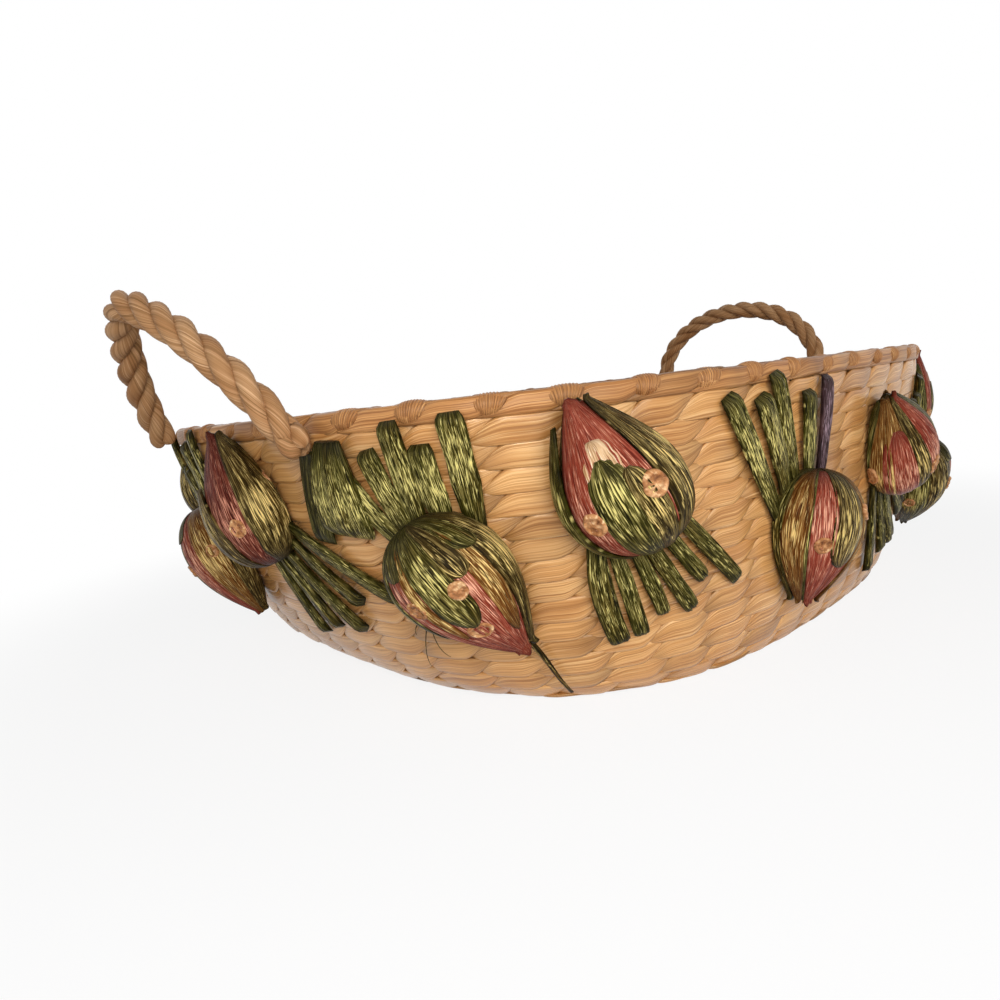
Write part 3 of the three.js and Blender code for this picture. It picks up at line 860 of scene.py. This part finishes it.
def build_base():
    """Rings of the same twining, from the wall's foot in to the middle."""
    patches = Patches()
    edge = half_width(WALL_FOOT) - BASE_INSET
    count = round(edge / BASE_ROW)
    row = edge / count
    for ring in range(count):
        inset = (ring + 0.5) * row
        arc = arc_lengths(base_oval(inset, rim_angles))
        columns = 2 * max(3, round(arc[-1] / BASE_COLUMN / 2))
        share = closed_shares(columns * STEPS_PER_COLUMN)
        angle = np.interp(share * arc[-1], arc, rim_angles)
        where = base_oval(inset, angle)
        along = np.gradient(where, axis=0)
        along[0] = along[-1] = where[1] - where[-2]
        above = np.tile([0.0, 0.0, 1.0], (len(share), 1))
        outward = unit(np.cross(along, above))
        reach = base_oval(inset - row / 2, angle) - base_oval(inset + row / 2, angle)
        half_row = np.einsum("ij,ij->i", reach, outward) / 2 + BASE_LAP
        twine(patches, (where, outward, -above), share, columns, half_row, 0, BASE_SWING, BASE_STRAND)
    finish_piece(patches.make("twined_base", "weave"), "basket", "weave", "base_panel")


def build_stakes():
    """Flat canes that run out through the base and up between the two strands of every row."""
    patches = Patches()
    corners = np.array([[1, 1], [-1, 1], [-1, -1], [1, -1]]) / 2 * [STAKE_WIDTH, STAKE_THICKNESS]
    rises = np.linspace(rise_at(BASE_THICKNESS), wall_rise - RIM_DIAMETER / 2, STAKE_STEPS)
    spokes = len(SPOKE_PLACES)
    for stake in range(COLUMN_COUNT):
        share = stake / COLUMN_COUNT + COLUMN_SHIFT
        where, up, out = wall_line(np.full(STAKE_STEPS, share), rises)
        middle = where - out * WALL_THICKNESS / 2
        foot = middle[0] * [1, 1, 0] + [0, 0, BASE_THICKNESS / 2]
        middle = np.concatenate([[foot * [f, f, 1] for f in SPOKE_PLACES], middle])
        along = np.cross(up, out)
        along = np.concatenate([along[:1]] * spokes + [along])
        out = np.concatenate([[[0, 0, -1.0]]] * spokes + [out])
        rings = middle[:, None] + corners[:, :1] * along[:, None] + corners[:, 1:] * out[:, None]
        grain = grain_map(rings, arc_lengths(middle)[:, None], corners[:, 0], stake)
        patches.tube(rings, grain, np.zeros(rings.shape[:2]))
    finish_piece(patches.make("stakes", "stake"), "basket", "stake", "stake_frame")


# Rim
def foot_distance(where):
    """How far places are from the rope feet, along the handles."""
    return np.abs(np.abs(where[..., 1]) - HANDLE_SPAN / 2)


def rim_line(share):
    radius = RIM_DIAMETER / 2
    angle = angle_at(share)
    z = BASKET_HEIGHT - radius + 0 * angle
    out = unit(wall_axes(angle, z)[1] * [1, 1, 0])
    where = wall_surface(angle, z)
    press = FOOT_PRESS * bell(foot_distance(where), 0, ROPE_DIAMETER)
    where = where + out * (RIM_PROUD - radius - press)[:, None]
    return where, np.tile([0.0, 0.0, 1.0], (len(share), 1)), out


def build_rim():
    """A twisted pair of strands."""
    share = closed_shares(COLUMN_COUNT * STEPS_PER_COLUMN)
    patches = Patches()
    half_row = np.full(len(share), RIM_DIAMETER / 2 - RIM_SLACK)
    shift = BAND_SHIFT - 0.5 / COLUMN_COUNT
    twine(patches, rim_line(share), share, COLUMN_COUNT, half_row, shift, RIM_SWING, RIM_STRAND)
    finish_piece(patches.make("rim_strands", "rim"), "basket", "rim", "rim_roll")


def band(patches, number):
    """Threads that are wrapped round the rim where a stake ends, but not at the rope feet."""
    middle = number / COLUMN_COUNT + BAND_SHIFT + rng.normal(0, BAND_PLAY)
    if foot_distance(rim_line(np.array([middle]))[0])[0] < BAND_WIDTH:
        return
    around = circle(BAND_SIDES)
    steps = np.linspace(-1, 1, 4 * BAND_RIDGES + 1)[:, None]
    half = BAND_WIDTH / 2 * rng.uniform(*BAND_WIDTHS)
    bulge = BAND_BULGE * rng.uniform(*BAND_BULGES) * grow(BAND_SIDE_BULGE, np.sin(around))
    slant = rng.uniform(*BAND_SLANTS)
    threads = np.abs(np.sin(math.pi * BAND_RIDGES * (steps + 1) / 2))
    crown = np.sqrt(1 - BAND_ROUND * steps ** 2)
    radius = RIM_DIAMETER / 2 - BAND_TUCK + (BAND_TUCK + bulge) * crown + BAND_THREAD * threads
    along = half * steps * grow(BAND_SIDE_WIDTH, np.sin(around))
    along = along + slant * RIM_DIAMETER / 2 * np.sin(around)
    where, up, out = rim_line((middle + along / rim_perimeter).ravel())
    ring_out = (radius * np.cos(around)).reshape(-1, 1)
    ring_up = (radius * np.sin(around)).reshape(-1, 1)
    rings = (where + out * ring_out + up * ring_up).reshape(len(steps), len(around), 3)
    grain = grain_map(rings, half * steps, RIM_DIAMETER / 2 * around, number)
    # painted shade at the band's ends and in the grooves between its threads
    painted_light_and_tone = BAND_END_SHADE * np.abs(steps) ** 6 + BAND_GROOVE_SHADE * (1 - threads) ** 2 + 0 * around
    patches.tube(rings, grain, painted_light_and_tone)


def build_bands():
    patches = Patches()
    for number in range(COLUMN_COUNT):
        band(patches, number)
    finish_piece(patches.make("rim_bands", "rim_band"), "basket", "rim")


# Rope handles
def rope_path(handle):
    """Points along the arch of a handle at rest, evenly spaced, with its two cross directions.
    The front foot has a tail that runs on outwards and down."""
    angle = np.linspace(0, math.pi, ARCH_STEPS + 1)
    y = -HANDLE_SPAN / 2 * rounded(np.cos(angle), handle["power"])
    z = handle["height"] * np.abs(np.sin(angle)) ** (2 / handle["power"])
    y = np.append(y[0] - handle["tail"][0], y)
    z = np.append(z[0] - handle["tail"][1], z)
    arc = arc_lengths(np.stack([y, z], -1))
    even = np.linspace(0, arc[-1], ROPE_STEPS + 1)
    flat = np.stack([0 * even, np.interp(even, arc, y), np.interp(even, arc, z)], -1)
    ahead = unit(np.gradient(flat, axis=0))
    side = np.tile([1.0, 0.0, 0.0], (len(even), 1))
    return even, flat, np.cross(side, ahead), side


def build_handle(name, handle, joint):
    """Three strands laid up right-handed, each ending in a rounded foot. The tail of the front foot
    is sewn to the wall, so it stays there when the handle tilts."""
    length, flat, inward, side = rope_path(handle)
    around = circle(ROPE_SIDES)
    facing = (around + math.pi) % (2 * math.pi) - math.pi
    to_end = np.minimum(length, length[-1] - length)
    end_round = round_end(to_end, ROPE_STRAND, 0.0004)
    pull = (ROPE_DIAMETER / 2 - ROPE_STRAND) * np.clip(ROPE_GATHER + to_end / (3 * ROPE_STRAND), 0, 1)
    rope = Patches()
    sewn = Patches()
    free = flat[:, 2] > -1e-6
    held = (flat[:, 1] < 0) & (flat[:, 2] < END_LAP)
    for index in range(ROPE_STRANDS):
        turn = 2 * math.pi * (length / ROPE_LAY + index / ROPE_STRANDS)
        radial = inward * np.cos(turn)[:, None] + side * np.sin(turn)[:, None]
        where = flat + radial * pull[:, None]
        ahead = unit(np.gradient(where, axis=0))
        beside = unit(np.cross(ahead, radial))
        outward = np.cross(beside, ahead)
        radius = ROPE_STRAND * end_round * (1 + wander(ROPE_LUMPS, length / length[-1], ROPE_LUMP))
        ring = np.cos(around)[:, None] * outward[:, None] + np.sin(around)[:, None] * beside[:, None]
        ring = radius[:, None, None] * ring
        across = ROPE_STRAND * facing + ROPE_TWIST * length[:, None]
        grain = grain_map(ring, length[:, None], across, STRAND_PATTERN * index + new_pattern() / 2)
        # painted shade in the grooves between the strands
        painted_light_and_tone = ROPE_SHADE * (np.abs(facing) / math.pi) ** 3 + 0 * length[:, None]
        rope.tube((where[:, None] + ring)[free], grain[free], painted_light_and_tone[free])
        sewn.tube((where[:, None] + END_SHRINK * ring)[held], grain[held], painted_light_and_tone[held])
    laid = rope.make(f"{name}_laid_rope", "rope")
    end = sewn.make(f"{name}_sewn_end", "rope")
    lean = Matrix.Rotation(handle["end"] * math.radians(handle["lean"]), 4, "Y")
    for obj in (laid, end):
        obj.data.transform(Matrix.Translation(joint["pos_m"]) @ lean)
    finish_piece(laid, name, "rope", f"{name}_rope")
    finish_piece(end, "basket", "rope")


# Bulbs
def bulb_outline(way):
    """Half-width and place along the bulb, on the way from its root at 0 to its tip at 1."""
    angle = math.pi * np.clip(way, 0, 1)
    towards_tip = (1 - np.cos(angle)) / 2
    core_width = BULB_WIDTH / 2 - PETAL_ROOM
    core_length = BULB_LENGTH - PETAL_ROOM
    radius = core_width * BULB_FULLNESS * np.sin(angle) * (1 - TIP_NARROWING * towards_tip ** TIP_POWER)
    place = core_length * (towards_tip - 0.5) + np.clip(way - 1, 0, None) * core_length
    return radius, place


def on_bulb(way, around, lift, least=0.0):
    """Points over a bulb's skin, drawn flat, by the way along it and degrees round it."""
    radius, place = bulb_outline(way)
    radius = np.maximum(radius, np.where(way > 0.5, least, 0))
    angle = np.radians(around)
    squeeze = (BULB_DEPTH - BULB_AXIS - PETAL_ROOM) / (BULB_WIDTH / 2 - PETAL_ROOM)
    x = (radius + lift) * np.sin(angle)
    z = BULB_AXIS + (radius * squeeze + lift) * np.cos(angle)
    return np.stack([x, place + 0 * angle, z], -1)


def bulb_core(patches, spot, turn, kind):
    way = np.linspace(*CORE_ENDS, CORE_ROWS)[:, None]
    around = np.linspace(-180, 180, CORE_SIDES, endpoint=False)
    ridges = np.sin(np.radians(around) * CORE_RIDGES + CORE_TWIST * way)
    flat = on_bulb(way, around, CORE_RIDGE * ridges)
    across = np.radians(around) * bulb_outline(way)[0]
    grain = grain_map(flat, way * BULB_LENGTH, across, new_pattern())
    # painted shade towards both ends of the core
    painted_light_and_tone = CORE_SHADE * (2 * np.abs(way - CORE_PALEST)) ** 4 + 0 * around
    patches.tube(lay_on_wall(flat, spot, turn), grain, np.clip(painted_light_and_tone, 0, 1), kind)


def petal(patches, spot, turn, form, kind):
    """A strip of raffia along the bulb, rounded at its free end and lifted a little there."""
    _, middle, width, start, stop, lift = form
    step = np.linspace(0, 1, PETAL_ROWS)[:, None]
    across = np.linspace(-1, 1, PETAL_COLUMNS)
    way = start + (stop - start) * step
    sepal = lift >= SEPAL_LIFT
    tip = np.sqrt(1 - PETAL_BLUNTNESS * slope(step, PETAL_TIP, 1) ** 2)
    taper = 1 - (SEPAL_TAPER if sepal else 0) * step ** 3
    root = grow(PETAL_ROOT_WIDTH, slope(step, 0, PETAL_WIDENING))
    sway = PETAL_SWAY * np.sin(PETAL_WAVE * step + new_phase())
    ragged = 1 + wander(PETAL_NOTCHES, step, PETAL_RAGGED)
    around = middle + sway + width / 2 * across * tip * taper * root * ragged
    crown = PETAL_CROWN * (1 - across ** 2)
    threads = rng.normal(0, PETAL_THREAD, PETAL_COLUMNS)
    threads = threads * np.sin(math.pi * np.clip(step, *PETAL_THREADED))
    curl = rng.uniform(*(SEPAL_CURL if sepal else PETAL_CURL)) * step ** 4
    rise = grow(PETAL_ROOT_LIFT, slope(step, 0, PETAL_LIFTING))
    height = lift * MM * rise + crown + threads + curl
    outer = on_bulb(way, around, height, BLUNT_TIP)
    inner = on_bulb(way, around, height - PETAL_THICKNESS, BLUNT_TIP)
    strip = np.radians(width / 2) * across * BULB_WIDTH * PETAL_GRAIN
    grain = grain_map(outer, way * BULB_LENGTH, strip, new_pattern())
    # painted highlight in a band across the petal, weaker at its edges
    shine = PETAL_SHINE * bell(way, rng.uniform(*PETAL_SHINES), PETAL_SHINE_LENGTH)
    shine = shine * (1 - PETAL_SHINE_LOSS * across ** 2)
    # painted shade at the root, along the edges and towards the tip
    dark = PETAL_ROOT_SHADE * slope(way, PETAL_SHADED, 0) + PETAL_EDGE_SHADE * np.abs(across) ** 6
    dark = dark + PETAL_TIP_SHADE * step ** 5
    outer, inner = (lay_on_wall(points, spot, turn) for points in (outer, inner))
    patches.slab(outer, inner, grain, np.clip(dark - shine, -1, 1), kind)


def cover(petals, way, around):
    """How far the petals stand off the bulb's core at a place."""
    over = [
        lift * MM + PETAL_CROWN
        for _, middle, width, start, stop, lift in petals
        if abs(around - middle) < width / 2 and start < way < stop
    ]
    return max(over, default=0)


def disc(patches, spot, turn, place, size, base, kind):
    """A small flat ring of fibre, with a raised edge and a wrinkled middle, sewn on the bulb."""
    way, around = place
    share = np.linspace(DISC_HOLE, 1, DISC_ROWS)[:, None]
    angle = circle(DISC_SIDES)
    wobble = 1 + sum(deep * np.sin(lobes * angle + new_phase()) for lobes, deep in DISC_LOBES)
    reach = size * rng.uniform(*DISC_SIZES) * share * wobble
    across, along = reach * np.cos(angle), reach * np.sin(angle)
    ring = bell(share, *DISC_RING)
    wrinkles = np.sin(DISC_WRINKLES * angle + DISC_SWIRL * share + new_phase())
    wrinkles = DISC_WRINKLE * wrinkles * np.sin(math.pi * share)
    height = base + DISC_LIFT + DISC_RISE * ring + wrinkles
    height = np.where(share > DISC_EDGE, base - DISC_SINK, height)
    around = around + np.degrees(across / bulb_outline(way)[0])
    flat = on_bulb(way + along / BULB_LENGTH * DISC_STRETCH, around, height)
    grain = grain_map(flat, across, along, new_pattern())
    # painted shade in the groove and at the outer edge, and a painted highlight on the raised ring
    painted_light_and_tone = DISC_SHADE * bell(share, *DISC_GROOVE) - DISC_SHINE * ring
    painted_light_and_tone = painted_light_and_tone + DISC_EDGE_SHADE * (share > DISC_EDGE) + 0 * angle
    patches.tube(lay_on_wall(flat, spot, turn), grain, painted_light_and_tone, kind)


def build_bulb(number, spot, turn, petals, discs, disc_size):
    patches = Patches()
    bulb_core(patches, spot, turn, 0)
    for form in petals:
        petal(patches, spot, turn, form, BULB_KINDS.index(form[0]))
    for place in discs:
        disc(patches, spot, turn, place, disc_size, cover(petals, *place), BULB_KINDS.index("disc"))
    obj = patches.make(f"raffia_bulb_{number:02d}", *BULB_KINDS)
    finish_piece(obj, "basket", "bulb_raffia", f"bulb_{number:02d}")


# Leaves
def polar(turn, reach):
    return np.array([reach * math.sin(math.radians(turn)), reach * math.cos(math.radians(turn))])


def clear_of_foot(spot, tip):
    """Whether a leaf's tip stays clear of the rope feet."""
    share, rise = spot
    place = rise + tip[1]
    where = wall_line(np.array([share + tip[0] / perimeter_at(height_at(place))]), place)[0][0]
    room = ROPE_DIAMETER / 2 + FOOT_ROOM
    return not (foot_distance(where) < room and where[2] > BASKET_HEIGHT - FOOT_DROP - room)


def smooth_line(points, steps):
    """Evenly stepped places along the curve through a few points."""
    points = np.array(points)
    knots = np.linspace(0, 1, len(points))
    step = np.linspace(0, 1, steps)
    curves = [np.polyfit(knots, points[:, i], len(points) - 1) for i in (0, 1)]
    return np.stack([np.polyval(curve, step) for curve in curves], -1)


def ribbon(
    patches, spot, line, half, thick, painted_light_and_tone, sides=RIBBON_SIDES, kind=0, base=SEAT_GAP, ridge=RIBBON_RIDGE
):
    """A flat bundle of fibres along a line on the wall, rounded in section and ridged along it."""
    around = circle(sides)
    ahead = unit(np.gradient(line, axis=0))
    beside = np.stack([ahead[:, 1], -ahead[:, 0]], -1)
    shares = rounded(np.cos(around), RIBBON_FLATNESS)
    rise = thick[:, None] / 2 * (1 + np.sin(around) * (1 + rng.normal(0, ridge, sides)))
    flat = np.zeros((len(line), sides, 3))
    flat[..., :2] = line[:, None] + beside[:, None] * (half[:, None] * shares)[..., None]
    flat[..., 2] = base + rise
    grain = grain_map(flat, arc_lengths(line)[:, None], half.max() * shares, new_pattern())
    # painted shade along the edges
    painted_light_and_tone = painted_light_and_tone[:, None] + RIBBON_EDGE_SHADE * np.abs(np.cos(around)) ** 8
    patches.tube(lay_on_wall(flat, spot, 0), grain, np.clip(painted_light_and_tone, -1, 1), kind)


def leaf(patches, spot, form, shine, kind):
    """A leaf of raffia that lies on the wall, with a square folded end."""
    root_turn, tip_turn = form[:2]
    reach, width = (size * MM for size in form[2:])
    while not clear_of_foot(spot, polar(tip_turn, reach)):
        reach -= LEAF_TRIM
    root, tip = polar(root_turn, LEAF_ROOT), polar(tip_turn, reach)
    middle = (root + tip) / 2 + rng.normal(0, LEAF_BEND, 2)
    line = smooth_line((root, middle, tip), LEAF_STEPS)
    step = np.linspace(0, 1, LEAF_STEPS)
    end = round_end(1 - step, LEAF_END, 0.02)
    half = width / 2 * grow(LEAF_ROOT_WIDTH, slope(step, 0, LEAF_WIDENING)) * grow(LEAF_END_WIDTH, end)
    half = half * (1 + wander(LEAF_KNOTS, step, LEAF_RAGGED))
    thick = LEAF_THICKNESS * (0.95 + 0.5 * step) * end * (1 + wander(LEAF_KNOTS, step, LEAF_LUMP))
    # painted highlight along part of the leaf, and painted shade at its root and its end
    shine = shine * bell(step, rng.uniform(*LEAF_SHINES), LEAF_SHINE_LENGTH)
    painted_light_and_tone = LEAF_ROOT_SHADE * slope(step, 0.2, 0) + LEAF_TIP_SHADE * slope(step, 7 / 8, 1) - shine
    ribbon(patches, spot, line, half, thick, painted_light_and_tone, kind=kind)


def fold(patches, spot, kind):
    """A puffed bundle, gathered and tied at its top and folded under at its foot, beside a flat flap."""
    step = np.linspace(0, 1, FOLD_STEPS)
    foot = round_end(step, FOLD_FOOT, 0.03)
    half = FLAP_WIDTH / 2 * grow(0.8, foot)
    line = MM * smooth_line(FOLD_FLAP, FOLD_STEPS)
    # the flap has painted shade, more of it towards its top
    ribbon(patches, spot, line, half, LEAF_THICKNESS * foot, 0.35 + 0.4 * step, kind=kind)
    half = FOLD_WIDTH / 2 * (1 - FOLD_NARROWING * step ** 1.6) * grow(0.7, foot)
    puff = np.sin(math.pi * np.clip(1 - step, 0, 1)) ** 0.7
    thick = FOLD_DEPTH * grow(FOLD_THINNEST, puff) * foot
    # painted highlights on the puff and at its foot, and painted shade at its top
    shine = FOLD_SHINE * bell(step, 0.38, 0.25) + FOLD_FOOT_SHINE * slope(step, 1 / 9, 0)
    painted_light_and_tone = FOLD_TOP_SHADE * slope(step, 7 / 9, 1) - shine
    ribbon(patches, spot, MM * smooth_line(FOLD_LINE, FOLD_STEPS), half, thick, painted_light_and_tone, FOLD_SIDES, kind)


def thin_strand(patches, spot, points, width, kind):
    step = np.linspace(0, 1, THIN_STEPS)
    half = width / 2 * (1 - THIN_TAPER * step)
    line = MM * smooth_line(points, THIN_STEPS)
    ribbon(patches, spot, line, half, half, 0 * step, THIN_SIDES, kind, LEAF_THICKNESS, ridge=0)


def build_fan(number, spot, leaves, shine, has_plum):
    patches = Patches()
    for index, form in enumerate(leaves):
        plum = has_plum and index == PLUM_LEAF
        leaf(patches, spot, form, shine, LEAF_KINDS.index("plum" if plum else "green"))
    if number == DRESSED_BULB:
        fold(patches, spot, LEAF_KINDS.index("green"))
        thin_strand(patches, spot, STEM_LINE, STEM_WIDTH, LEAF_KINDS.index("bronze"))
        for points in LOOSE_FIBRES:
            thin_strand(patches, spot, points, FIBRE_WIDTH, LEAF_KINDS.index("bronze"))
    obj = patches.make(f"raffia_leaves_{number:02d}", *LEAF_KINDS)
    finish_piece(obj, "basket", "leaf_raffia", f"leaf_fan_{number:02d}")


def build_tuck():
    """The flat end of a strand that comes out below a rope foot, seen under the front left one."""
    front_left = slice(CURVE_STEPS // 2, CURVE_STEPS * 3 // 4)
    forward = -wall_surface(rim_angles, BASKET_HEIGHT)[front_left, 1]
    foot = np.interp(HANDLE_SPAN / 2, forward, rim_arc[front_left]) / rim_perimeter
    spot = (foot, rise_at(BASKET_HEIGHT - FOOT_DROP))
    step = np.linspace(0, 1, TUCK_STEPS)
    half = TUCK_WIDTH / 2 * np.sqrt(np.clip(1 - (2 * np.abs(step - 0.5)) ** 6, 0.05, 1))
    thick = np.full(TUCK_STEPS, TUCK_THICKNESS)
    patches = Patches()
    line = MM * smooth_line(TUCK_LINE, TUCK_STEPS)
    # painted shade towards the strand's end
    ribbon(patches, spot, line, half, thick, TUCK_SHADE * step ** 4, TUCK_SIDES, ridge=TUCK_RIDGE)
    finish_piece(patches.make("tucked_strand", "weave"), "basket", "weave")


def build_ornaments():
    kinds = (
        (TIP_UP, TIP_UP_LOOKS, TIP_UP_PETALS, TIP_UP_DISCS, TIP_UP_LEAVES),
        (TIP_DOWN, TIP_DOWN_LOOKS, TIP_DOWN_PETALS, TIP_DOWN_DISCS, TIP_DOWN_LEAVES),
    )
    for pair in range(PAIR_COUNT):
        odd = pair % 2
        for side, (kind, looks, petals, discs, leaves) in enumerate(kinds):
            number = 2 * pair + side + 1
            along, up, twist = kind["nudges"][pair % len(kind["nudges"])]
            share = kind["start"] + pair / PAIR_COUNT + along / rim_perimeter
            spot = (share, wall_rise - kind["below"] + up)
            turn = kind["turn"] + kind["sway"] * (-1 if odd else 1) + twist
            look = looks[pair]
            build_bulb(number, spot, turn, petals[look], discs[look], kind["disc"])
            has_plum = side == 1 and pair % PLUM_EVERY == PLUM_FIRST
            build_fan(number, spot, leaves[odd], kind["shine"], has_plum)


# Stage: camera, light and floor
def build_camera():
    data = bpy.data.cameras.new("camera")
    data.lens = CAMERA_LENS
    data.sensor_width = SENSOR_WIDTH
    data.clip_start = CLIP_START
    camera = bpy.data.objects.new("camera", data)
    level = math.cos(CAMERA_PITCH)
    ahead = Vector((math.cos(CAMERA_YAW) * level, math.sin(CAMERA_YAW) * level, math.sin(CAMERA_PITCH)))
    right = ahead.cross(Vector((0, 0, 1))).normalized()
    above = right.cross(ahead)
    c, s = math.cos(CAMERA_ROLL), math.sin(CAMERA_ROLL)
    columns = (right * c + above * s, above * c - right * s, -ahead)
    turn = Matrix(columns).transposed().to_4x4()
    camera.matrix_world = Matrix.Translation(CAMERA_PLACE) @ turn
    bpy.context.scene.collection.objects.link(camera)
    bpy.context.scene.camera = camera


def area_light(name, place, size, power):
    data = bpy.data.lights.new(name, "AREA")
    data.size = size
    data.energy = power
    light = bpy.data.objects.new(name, data)
    light.location = place
    light.rotation_mode = "QUATERNION"
    light.rotation_quaternion = (Vector(LIGHT_TARGET) - Vector(place)).to_track_quat("-Z", "Y")
    bpy.context.scene.collection.objects.link(light)


def shown_rays(graph):
    """1 for what the camera sees, straight, mirrored or through glass, and 0 for light on the object."""
    path = graph.add("ShaderNodeLightPath")
    rays = path.outputs["Is Camera Ray"]
    for name in ("Is Glossy Ray", "Is Transmission Ray"):
        rays = graph.calculate("MAXIMUM", rays, path.outputs[name])
    return rays


def build_light():
    for name, (place, size, power) in LIGHTS.items():
        area_light(name, place, size, power)
    world = bpy.data.worlds.new("studio")
    world.use_nodes = True
    graph = Graph(world.node_tree)
    strength = graph.span(shown_rays(graph), (0, 1), (WORLD_LIGHT, 1))
    background = graph.add("ShaderNodeBackground", Color=grey(1.0), Strength=strength)
    graph.add("ShaderNodeOutputWorld", background.outputs[0])
    bpy.context.scene.world = world


def build_floor():
    bpy.ops.mesh.primitive_plane_add(size=FLOOR_SIZE)
    floor = bpy.context.object
    floor.name = "floor"
    material, graph = material_graph("floor_paper")
    paper = graph.add("ShaderNodeBsdfDiffuse", Color=grey(FLOOR_PAPER))
    white = graph.add("ShaderNodeEmission", Color=grey(1.0), Strength=1.0)
    place = graph.add("ShaderNodeNewGeometry").outputs["Position"]
    reach = graph.add("ShaderNodeVectorMath", place, settings={"operation": "LENGTH"}).outputs["Value"]
    distant = graph.add(
        "ShaderNodeMapRange", reach, FLOOR_NEAR, FLOOR_FAR, FLOOR_GLOW, 1.0,
        settings={"interpolation_type": "SMOOTHSTEP"},
    ).outputs[0]
    seen = graph.calculate("MULTIPLY", distant, shown_rays(graph))
    blend = graph.add("ShaderNodeMixShader", seen, paper.outputs[0], white.outputs[0])
    graph.add("ShaderNodeOutputMaterial", blend.outputs[0])
    floor.data.materials.append(material)


build_camera()
build_rows()
build_base()
build_stakes()
build_rim()
build_bands()
joints = {joint["child"]: joint for joint in frame["joints"]}
build_handle("left_handle", LEFT_HANDLE, joints["left_handle"])
build_handle("right_handle", RIGHT_HANDLE, joints["right_handle"])
build_ornaments()
build_tuck()
build_light()
build_floor()
bpy.context.scene.view_settings.view_transform = "Standard"

bpy.context.view_layer.update()
